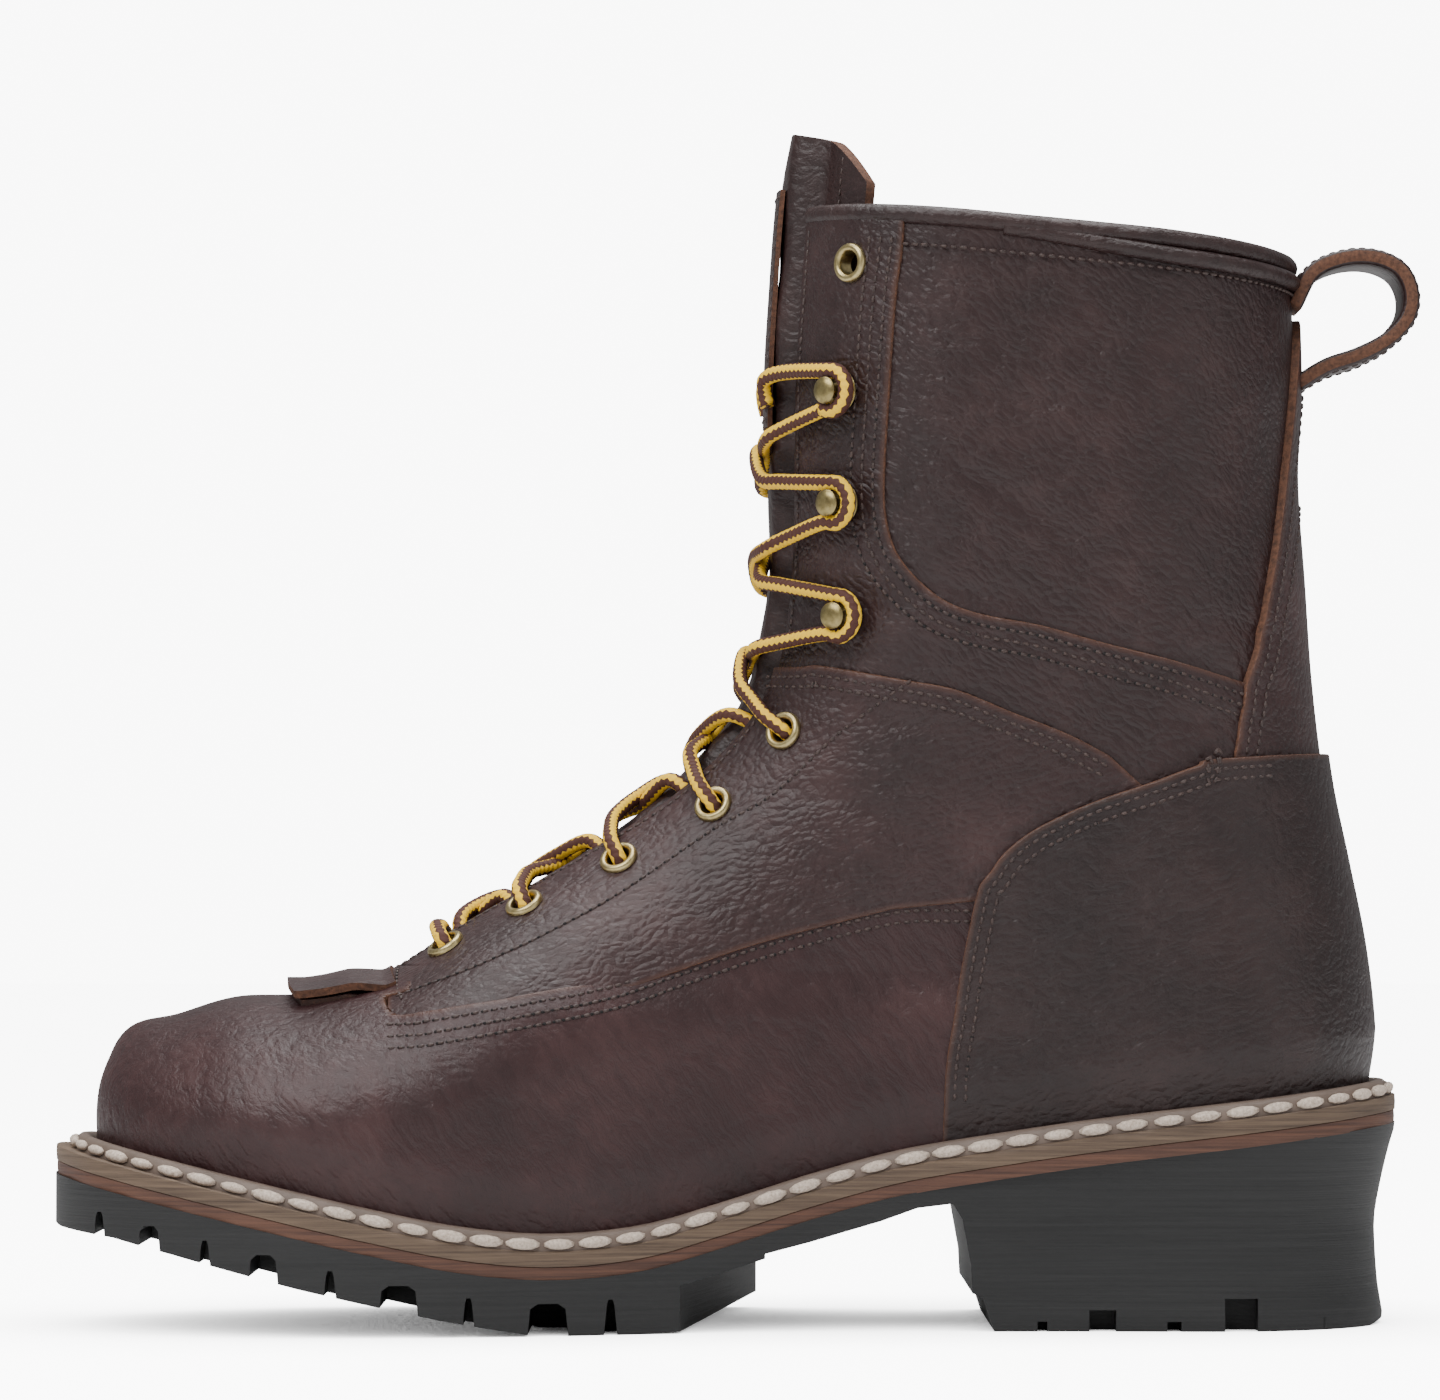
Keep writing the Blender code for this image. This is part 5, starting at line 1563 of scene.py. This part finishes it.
def taper(points, faces, x, wide, yNear, yFar, low, high):
    # Cut with sides that lean apart towards the floor
    first = len(points)
    for y in (yNear, yFar):
        points.extend(
            [(x - wide / 2 - treadUser["lean"], y, low), (x + wide / 2 + treadUser["lean"], y, low)]
        )
        points.extend(
            [
                (x + wide / 2, y, high - 0.0012), (x + wide * 0.28, y, high), (x - wide * 0.28, y, high),
                (x - wide / 2, y, high - 0.0012)
            ]
        )
    faces.append(tuple(first + k for k in range(6)))
    faces.append(tuple(first + 6 + k for k in range(6)))
    for k in range(6):
        n = (k + 1) % 6
        faces.append((first + k, first + n, first + 6 + n, first + 6 + k))


# Run along the sole, width, reach in from the edge; lower ends lean apart
treadUser = {
    "lean": 0.0011,
    "wide": ((0.919, 0.0044), (0.834, 0.0058), (0.7366, 0.0078), (0.630, 0.0081)),
    "narrow": ((0.958, 0.0018), (0.877, 0.0017), (0.7856, 0.0018), (0.6866, 0.0016), (0.585, 0.0017)),
    "reach": (0.030, 0.013),
    "stagger": 0.013,
}


def treadCutters():
    points, faces = [], []
    for key, reach in (("wide", treadUser["reach"][0]), ("narrow", treadUser["reach"][1])):
        for run, wide in treadUser[key]:
            for sign, side in ((-1, "inner"), (1, "outer")):
                x = heelBack - run * outsoleLength + (treadUser["stagger"] if sign > 0 else 0.0)
                high = soleTop(x) - treadBase
                low = max(high - 0.012, -0.012)
                edge = halfWidth(x, seat(x), side) + weltWidth(x)
                ends = (centre(x) + sign * (edge + 0.012), centre(x) + sign * (edge - reach))
                taper(points, faces, x, wide, *ends, low, high)
    for run, share, wide in zip(heelCutTable["run"], heelCutTable["depth"], heelCutTable["width"]):
        x = heelBack - run * outsoleLength
        high = share * heelLift
        for sign in (-1, 1):
            middle = (x, sign * shaftWidth / 2, (high + lowLimit) / 2)
            box(points, faces, middle, (grooveWidth * wide, notchDepth * 2, high - lowLimit))
    return meshObject("treadCutters", points, faces)


def waistCutter():
    end = heelBack - 0.470 * outsoleLength
    start = heelBack - 0.543 * outsoleLength
    points, faces = [], []
    steps = 5
    for i in range(steps):
        x = start + (end - start) * i / (steps - 1)
        reach = sideLimit * (i / (steps - 1) - 0.48)
        top = soleTop(x) - treadBase * 1.05
        for y in (-sideLimit, reach):
            points += [(x, y, lowLimit), (x, y, top)]
    for i in range(steps - 1):
        a = 4 * i
        for low, high in ((0, 1), (1, 3), (3, 2), (2, 0)):
            faces.append((a + low, a + high, a + 4 + high, a + 4 + low))
    faces += [(0, 1, 3, 2), tuple(4 * (steps - 1) + k for k in (0, 2, 3, 1))]
    return meshObject("waistCutter", points, faces)


def makeSole():
    stations = np.linspace(frontLimit + 0.03, backLimit, 60)
    top = [(x, soleTop(x)) for x in stations]
    under = [
        (heelBack - r * outsoleLength, h * heelLift)
        for r, h in zip(undersideTable["run"], undersideTable["height"])
    ]
    under[-1] = (backLimit, under[-1][1])
    outline = [*top, *under[::-1]]
    count = len(outline)
    points = [(x, y, z) for y in (-sideLimit, sideLimit) for x, z in outline]
    faces = [tuple(range(count)), tuple(range(count, 2 * count))]
    faces += [(i, (i + 1) % count, count + (i + 1) % count, count + i) for i in range(count)]
    profile = meshObject("soleProfile", points, faces)
    heights = np.linspace(heelSideTable["height"][0], heelSideTable["height"][-1], 22)
    sections = []
    for height in heights:
        share = curveAt(heelSideTable["height"], heelSideTable["share"], height)

        def drawn(x):
            heel = 1 - ease(((heelBack - x) / outsoleLength - 0.20) / 0.20)
            return weltWidth(x) - heelWaist * share * heel

        ringPlan = footRing(drawn)
        sections.append((ringPlan, [height * heelLift] * len(ringPlan)))
    obj = band("lugSole", sections, rubber, False, "outsole")
    for cutter, kind in (
        (profile, "INTERSECT"), (waistCutter(), "DIFFERENCE"), (treadCutters(), "DIFFERENCE")
    ):
        work = obj.modifiers.new(cutter.name, "BOOLEAN")
        work.operation = kind
        work.object = cutter
        fresh = evaluated(obj)
        obj.modifiers.clear()
        obj.data = fresh
        bpy.data.objects.remove(cutter)
    obj.data.set_sharp_from_angle(angle=math.radians(32))
    return obj


makeSole()
insolePlan = footRing(-wallThick - 0.0006)
insoleSections = [(insolePlan, [seat(x) + lift for x in insolePlan[:, 0]]) for lift in (0.0004, 0.0039)]
band("insoleSheet", insoleSections, liningLeather, False, "insole")
print("sole made")


# Tongue, patch, leaf, binding and pull loop

def frontSheet(name, rows, columns, at, mats, faceSlots, nodes):
    points, faces, slots = [], [], []
    for face in (0, 1):
        for i in range(rows):
            points += [at(i / (rows - 1), 2 * j / (columns - 1) - 1, face) for j in range(columns)]
    half = rows * columns
    for i in range(rows - 1):
        for j in range(columns - 1):
            k = i * columns + j
            faces.append((k, k + 1, k + columns + 1, k + columns))
            faces.append((half + k, half + k + columns, half + k + columns + 1, half + k + 1))
            slots += [faceSlots[0], faceSlots[1]]
    loop = [
        *range(columns), *range(2 * columns - 1, half, columns), *range(half - 2, half - columns - 1, -1),
        *range(half - 2 * columns, 0, -columns)
    ]
    for a, b in zip(loop, loop[1:] + loop[:1]):
        faces.append((a, b, b + half, a + half))
        slots.append(faceSlots[2])
    obj = recalc(meshFrom(name, points, faces, mats, slots, weld=0))
    obj.data.set_sharp_from_angle(angle=math.radians(50))
    return settle(obj, *nodes)


tongueUser = {"rows": 90, "columns": 49, "gusset": 0.72, "seamStart": 0.985, "seamEnd": tongueEnd - 0.03}
patchUser = {"lift": tongueTop + 0.0002, "seamIn": 0.008, "seamAt": 0.86}
thinStitch = (0.0024, 0.0018, 0.0006)


def tonguePlace(share, q, face):
    q = math.copysign(abs(q) ** 0.9, q)
    end = tongueEnd - tongueEdgeRound * abs(q) ** 3
    place = tongueStart + (end - tongueStart) * share
    y = tongueHalf(place) * q
    soft = 0.0006 * math.sin(38 * place + 3 * q) * ease(share)
    return lifted(place, y, tongueLift(place, y) + soft * (1 - abs(q)) - face * tongueThickness)


frontSheet(
    "tongueSheet", tongueUser["rows"], tongueUser["columns"], tonguePlace,
    (bindLeather, liningLeather, rawEdge), (0, 1, 2), ["tongue"]
)


def patchPlace(share, q, face):
    place = patchStart + (patchEnd - patchStart) * share
    return lifted(place, patchHalfWidth * q, patchUser["lift"] + (1 - face) * patchThickness)


frontSheet("tonguePatch", 30, 13, patchPlace, (bindLeather, rawEdge), (0, 0, 1), ["tongue_patch"])


def patchRow(shares, spots):
    lift = patchUser["lift"] + patchThickness
    return [lifted(share, patchHalfWidth * q, lift) for share in shares for q in spots]


seamEnds = (patchStart + patchUser["seamIn"], patchEnd - patchUser["seamIn"])
seamSpots = (-patchUser["seamAt"], patchUser["seamAt"])
patchEdge = [patchRow(np.linspace(*seamEnds, 40), (q,)) for q in seamSpots]
patchEdge += [patchRow((share,), np.linspace(*seamSpots, 14)) for share in seamEnds]
gusset = []
for sign in (-1, 1):
    row = []
    for share in np.linspace(tongueUser["seamStart"], tongueUser["seamEnd"], 24):
        y = sign * tongueHalf(share) * tongueUser["gusset"]
        row.append(lifted(share, y, tongueLift(share, y)))
    gusset.append(row)
stitchRows("frontStitches", patchEdge + gusset, *thinStitch, threadDark, 11)

leafUser = {
    "upper": (-0.128, -0.006, 0.0060), "lower": (-0.122, -0.022, 0.0035), "thick": 0.0019, "sink": 0.0030
}


def leafPlace(start, end, lift):
    def place(share, q, face):
        first = start + 0.014 * abs(q) ** 2
        at = first + (end - first) * share
        y = kiltieHalfWidth * q * (0.84 + 0.16 * share)
        curl = 0.0012 * (1 - share) ** 2
        curl -= leafUser["sink"] * ease((share - 0.55) / 0.45)
        return lifted(at, y, lift + curl - face * leafUser["thick"])
    return place


frontSheet(
    "leafUpper", 30, 41, leafPlace(*leafUser["upper"]), (leafLeather, rawEdge), (0, 0, 1), ["kiltie"]
)
frontSheet("leafLower", 30, 41, leafPlace(*leafUser["lower"]), (leafLeather, leafEdge), (0, 0, 1), [])


def tubeMesh(name, path, radius, mat, sides=16, squash=1.0, weave=0.0):
    points, faces, spots = [], [], []
    side = Vector((0, 0, 1))
    gone = 0.0
    for i, point in enumerate(path):
        if i:
            gone += (point - path[i - 1]).length
        way = wayAt(path, i)
        side = (side - side.dot(way) * way).normalized()
        other = way.cross(side)
        for k in range(sides + 1):
            turn = 2 * math.pi * k / sides
            reach = radius * (1 + weave * math.sin(gone * 4200 + 2 * turn))
            points.append(point + reach * (math.cos(turn) * side + squash * math.sin(turn) * other))
            spots.append((gone, k / sides))
    wide = sides + 1
    for i in range(len(path) - 1):
        for k in range(sides):
            a = i * wide + k
            faces.append((a, a + 1, a + 1 + wide, a + wide))
    for first in (0, len(points) - wide):
        faces.append(tuple(first + k for k in range(sides)))
    return recalc(meshFrom(name, points, faces, (mat,), spots=spots))


rimRow = [Vector(p) - Vector(n) * wallThick * 0.3 for p, n in zip(sheetGrid[-1], sheetNormal[-1])]
bindPath = [p + Vector((0, 0, 0.0012)) for p in rimRow]
settle(tubeMesh("collarBinding", bindPath, bindingRadius * 1.05, bindLeather, 14), "collar_binding")
secondPath = []
for p, n in zip(rimRow, sheetNormal[-1]):
    if p.x > -0.042:
        come = ease((p.x + 0.042) / 0.045)
        secondPath.append(p + Vector(n) * 0.0012 * come - Vector((0, 0, 0.0028 * come)))
settle(tubeMesh("collarRoll", secondPath, bindingRadius * 0.95, bindLeather, 14))
collarSeam = [
    [
        Vector(p) + Vector(n) * 0.0007 - Vector((0, 0, 0.0058))
        for p, n in zip(sheetGrid[-1], sheetNormal[-1])
    ][4:-4]
]
stitchRows("collarStitches", collarSeam, *seamStitch, threadDark, 13)

loopUser = {"steps": 90, "thick": strapThickness * 1.35, "wide": strapWidth}


def makeStrap():
    low = seat(footBack) + loopRise * upperBackHeight - loopHeight * 0.72
    knots = np.arange(len(loopTable["reach"]), dtype=float)
    start = backX(low + loopHeight / 2) - 0.0014
    stops = np.linspace(0, len(knots) - 1, loopUser["steps"])
    line = [
        Vector(
            (
                start + (loopReach + 0.0042) * curveAt(knots, loopTable["reach"], s),
                low + loopHeight * curveAt(knots, loopTable["rise"], s)
            )
        )
        for s in stops
    ]
    half, deep = loopUser["wide"] / 2, loopUser["thick"] / 2
    section = [
        (-half + 0.0006, -deep), (half - 0.0006, -deep), (half, -deep + 0.0006), (half, deep - 0.0006),
        (half - 0.0006, deep), (-half + 0.0006, deep), (-half, deep - 0.0006), (-half, -deep + 0.0006)
    ]
    points, faces, slots = [], [], []
    for i, point in enumerate(line):
        way = wayAt(line, i)
        out = Vector((-way.y, way.x))
        for y, z in section:
            points.append((point.x + out.x * z, y, point.y + out.y * z))
    count = len(section)
    for i in range(len(line) - 1):
        for k in range(count):
            a, n = i * count + k, i * count + (k + 1) % count
            faces.append((a, n, n + count, a + count))
            slots.append(1 if k in (2, 6) else 0)
    faces += [tuple(range(count)), tuple(range(len(points) - count, len(points)))]
    slots += [1, 1]
    obj = recalc(meshFrom("pullStrap", points, faces, (bindLeather, rawEdge), slots, weld=0))
    settle(obj, "pull_loop")
    rows = []
    for y in (-half + 0.0024, half - 0.0024):
        row = []
        for i in range(2, len(line) - 2):
            way = wayAt(line, i)
            out = Vector((-way.y, way.x)) * (deep + 0.0001)
            row.append((line[i].x + out.x, y, line[i].y + out.y))
        rows.append(row)
    stitchRows("strapStitches", rows, *thinStitch, threadDark, 17)


makeStrap()
print("front, collar and loop made")


# Eyelets, hooks and the lace

def lathe(name, profile, places, mat, nodes, sides=40):
    points, faces = [], []
    closed = profile[0][0] > 0
    count = len(profile)
    for point, normal, up, _ in places:
        across = normal.cross(up).normalized()
        frameHere = Matrix((up, across, normal)).transposed()
        first = len(points)
        for i in range(sides):
            turn = 2 * math.pi * i / sides
            for radius, height in profile:
                points.append(
                    point + frameHere @ Vector((radius * math.cos(turn), radius * math.sin(turn), height))
                )
        for i in range(sides):
            k = (i + 1) % sides
            for j in range(count if closed else count - 1):
                n = (j + 1) % count
                faces.append(
                    (
                        first + i * count + j, first + i * count + n, first + k * count + n,
                        first + k * count + j
                    )
                )
    obj = recalc(meshFrom(name, points, faces, (mat,)))
    obj.data.set_sharp_from_angle(angle=math.radians(45))
    return settle(obj, *nodes)


def ringProfile(foot):
    middle, tall = (eyeletRadius + eyeletHole) / 2, eyeletThickness * 1.15
    half = (eyeletRadius - eyeletHole) / 2
    top = [
        (middle + half * math.cos(t), foot + tall * math.sin(t) ** 0.75)
        for t in np.linspace(0, math.pi, 12)
    ]
    return top + [
        (eyeletHole - 0.0001, foot - 0.0030), (eyeletHole + 0.0006, foot - 0.0030),
        (eyeletHole + 0.0006, foot - 0.0001)
    ]


lowPlaces = [eyeletPlace(s, sign) for sign in (-1, 1) for s in eyeletShares]
topPlaces = [eyeletPlace(topEyelet, sign, topInset) for sign in (-1, 1)]
lowNodes = [f"eyelet_{side}_{i}" for side in ("inner", "outer") for i in range(1, 6)]
lathe("laceEyelets", ringProfile(panelUser["quarter"]), lowPlaces, paleBrass, lowNodes)
lathe(
    "topEyelets", ringProfile(panelUser["facing"]), topPlaces, paleBrass,
    ["eyelet_inner_6", "eyelet_outer_6"]
)
base0 = facingThickness
stem0, cap0 = base0 + hookPlate, base0 + hookPlate + hookStem
hookProfile = [
    (0.0, base0), (hookPlateRadius, base0), (hookPlateRadius * 1.02, base0 + 0.0004),
    (hookPlateRadius * 0.90, stem0), (hookStemRadius * 1.3, stem0 + 0.0002),
    (hookStemRadius, stem0 + 0.0008), (hookStemRadius * 0.95, cap0 - 0.0006),
    (hookCapRadius * 0.92, cap0 - 0.0001), (hookCapRadius * 1.02, cap0 + 0.0004),
    (hookCapRadius * 0.9, cap0 + 0.0009), (hookCapRadius * 0.4, cap0 + 0.0012), (0.0, cap0 + 0.0012)
]
hookPlaces = [eyeletPlace(s, sign, hookInset) for sign in (-1, 1) for s in hookShares]
lathe(
    "speedHooks", hookProfile, hookPlaces, hookBrass,
    [f"hook_{side}_{i}" for side in ("inner", "outer") for i in (1, 2, 3)]
)

laceUser = {
    "spacing": 0.0009,
    "over": laceOver - 0.0007,
    "cross": 0.0015,
    "sink": 0.0012,
    # degrees round a hook, from below it over its far side
    "turn": (-62, -105, -150, 165, 120, 75),
}


def laceRise(share):
    # Over the tongue, which lies deeper at the foot of the laces
    return laceProud - tongueProud * (1 - ease((share - 0.12) / 0.58))


def laceRoute(sign):
    # From the outer bar's middle, in and out of the eyelets, to the top hook on one side
    over, gaps = laceUser["over"], throatGapAt
    places = [*eyeletShares, *hookShares]

    def hole(share, side, lift):
        return lifted(share, side * (gaps(share) + eyeletInset), lift)

    low = places[0]
    route = [lifted(low, 0.0, laceRise(low) + 0.0006), lifted(low + 0.002, sign * gaps(low), over + 0.0008)]
    route += [hole(low, sign, over - 0.0002), hole(low + 0.002, sign, -0.0022)]
    route += [lifted(low + 0.012, sign * (gaps(low) + 0.003), -0.0022)]
    side = sign
    for i in range(len(places) - 1):
        low, high = places[i], places[i + 1]
        crossUp = laceUser["cross"] if (side < 0) == (i % 2 == 0) else -laceUser["cross"] * 0.4
        if i == 0:
            route.append(lifted(low + 0.026, side * (gaps(low) - 0.004), laceRise(low) - 0.0003))
        route.append(lifted((low + high) / 2, 0.0, laceRise((low + high) / 2) - laceUser["sink"] + crossUp))
        side = -side
        gap = gaps(high)
        if i + 1 < len(eyeletShares):
            route += [
                lifted(high - 0.016, side * (gap - 0.0055), laceRise(high) - 0.0008),
                lifted(high - 0.008, side * (gap + 0.0005), -0.0008)
            ]
            route += [hole(high - 0.002, side, -0.0022), hole(high, side, 0.0016)]
            route += [
                lifted(high + 0.003, side * (gap + eyeletInset - 0.0034), over + 0.0003),
                lifted(high + 0.010, side * (gap + 0.0003), over)
            ]
            route.append(lifted(high + 0.022, side * (gap - 0.005), laceRise(high) + 0.0009))
        else:
            route += [
                lifted(high - 0.045, side * (gap - 0.003), laceRise(high) + 0.0004),
                lifted(high - 0.034, side * (gap + 0.003), over + 0.0006)
            ]
            if i + 1 < len(places) - 1:
                route += hookTurn(high, side, laceUser["turn"])
                route += [
                    lifted(high + 0.026, side * (gap + 0.002), over + 0.0010),
                    lifted(high + 0.030, side * (gap - 0.005), laceRise(high) + 0.0004)
                ]
    share = places[-1]
    end = hookTurn(share, side, laceUser["turn"])
    route.append(end[0])
    gap = gaps(share)
    end += [
        lifted(share + 0.024, side * (gap + 0.001), over + 0.0006),
        lifted(share + 0.018, side * (gap - 0.005), laceProud + 0.0004)
    ]
    end += [
        lifted(share + 0.004, side * (gap - 0.0062), laceProud),
        lifted(share - 0.010, side * (gap - 0.0056), laceProud - 0.0006)
    ]
    return route, end, side


laceNodes = ["lace_bar"] + [f"lace_crossing_{i}" for i in range(1, 8)]
first, firstEnd, firstSide = laceRoute(-1)
second, secondEnd, secondSide = laceRoute(1)
whole = [Vector(p) for p in first[::-1]] + [Vector(p) for p in second[1:]]
lacePath = smoothPath(whole, laceUser["spacing"])
settle(tubeMesh("lace", lacePath, laceRadius, laceMaterial, 14, 0.94, 0.02), *laceNodes)
for route, side in ((firstEnd, firstSide), (secondEnd, secondSide)):
    label = "inner" if side < 0 else "outer"
    path = smoothPath(route, laceUser["spacing"])
    end = settle(
        tubeMesh("laceEnd" + label.capitalize(), path, laceRadius, laceMaterial, 14, 1.0, 0.0),
        "lace_end_" + label
    )
print("lace run")


# Floor, light and camera

stageUser = {
    "floor": 6.0,
    "seen": 9.5,
    "world": 0.44,
    "floorGlow": 8.4,
    # Reach of the painted contact shadow in the floor's glow
    "paintedShadowReach": 0.07,
    "lens": 151,
    "sensor": 36,
    "eye": (-0.107, -1.45, 0.100),
    "tilt": 91.92,
}
# Place, aim, size and power of each light
lightUser = {
    "keyLight": ((-0.75, -0.85, 1.2), (-0.1, 0, 0.1), (1.2, 0.8), 21.0),
    "topLight": ((0.0, 0.1, 1.5), (-0.1, 0, 0.1), (1.4, 1.0), 29.0),
    "fillLight": ((0.9, -0.8, 0.5), (-0.1, 0, 0.12), (0.8, 0.8), 2.0),
}


def areaLight(name, place, aim, size, power):
    lamp = bpy.data.lights.new(name, "AREA")
    lamp.shape = "RECTANGLE"
    lamp.size, lamp.size_y = size
    lamp.energy = power
    obj = linked(name, lamp)
    obj.location = place
    obj.rotation_euler = (Vector(aim) - Vector(place)).to_track_quat("-Z", "Y").to_euler()


floorMat, floorTree, floorShader = newMaterial("paleFloor", (0.86, 0.86, 0.86), 0.85)
half = stageUser["floor"]
floor = meshFrom(
    "floor", [(-half, -half, 0), (half, -half, 0), (half, half, 0), (-half, half, 0)], [(0, 1, 2, 3)],
    (floorMat,)
)
floorShader.inputs["Emission Color"].default_value = (1, 1, 1, 1)
# The floor glows evenly for the camera alone. That glow is multiplied by ambient occlusion, so it dims near
# the boot as a painted contact shadow.
seenRay = (floorTree.nodes.new("ShaderNodeLightPath"), "Is Camera Ray")
near = addNode(floorTree, "ShaderNodeAmbientOcclusion", {"Distance": stageUser["paintedShadowReach"]}, samples=6)
glow = mathNode(floorTree, "MULTIPLY", seenRay, stageUser["floorGlow"])
paintedFloorShadow = mathNode(floorTree, "MULTIPLY", glow, (near, "AO"))
join(floorTree, *paintedFloorShadow, floorShader, "Emission Strength")
floor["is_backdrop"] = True
world = bpy.data.worlds.new("softStudio")
world.use_nodes = True
backdrop = world.node_tree.nodes["Background"]
backdrop.inputs["Color"].default_value = (0.93, 0.93, 0.935, 1)
backdrop.inputs["Strength"].default_value = stageUser["world"]
seen = addNode(
    world.node_tree, "ShaderNodeBackground",
    {"Color": (0.97, 0.97, 0.97, 1), "Strength": stageUser["seen"]}
)
path = world.node_tree.nodes.new("ShaderNodeLightPath")
both = world.node_tree.nodes.new("ShaderNodeMixShader")
join(world.node_tree, path, "Is Camera Ray", both, "Fac")
world.node_tree.links.new(backdrop.outputs[0], both.inputs[1])
world.node_tree.links.new(seen.outputs[0], both.inputs[2])
world.node_tree.links.new(both.outputs[0], world.node_tree.nodes["World Output"].inputs[0])
bpy.context.scene.world = world
for name, values in lightUser.items():
    areaLight(name, *values)
lens = bpy.data.cameras.new("photoCamera")
lens.lens = stageUser["lens"]
lens.sensor_width = stageUser["sensor"]
camera = linked("photoCamera", lens)
camera.location = stageUser["eye"]
camera.rotation_euler = (math.radians(stageUser["tilt"]), 0, 0)
bpy.context.scene.camera = camera

low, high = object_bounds()
print("done")
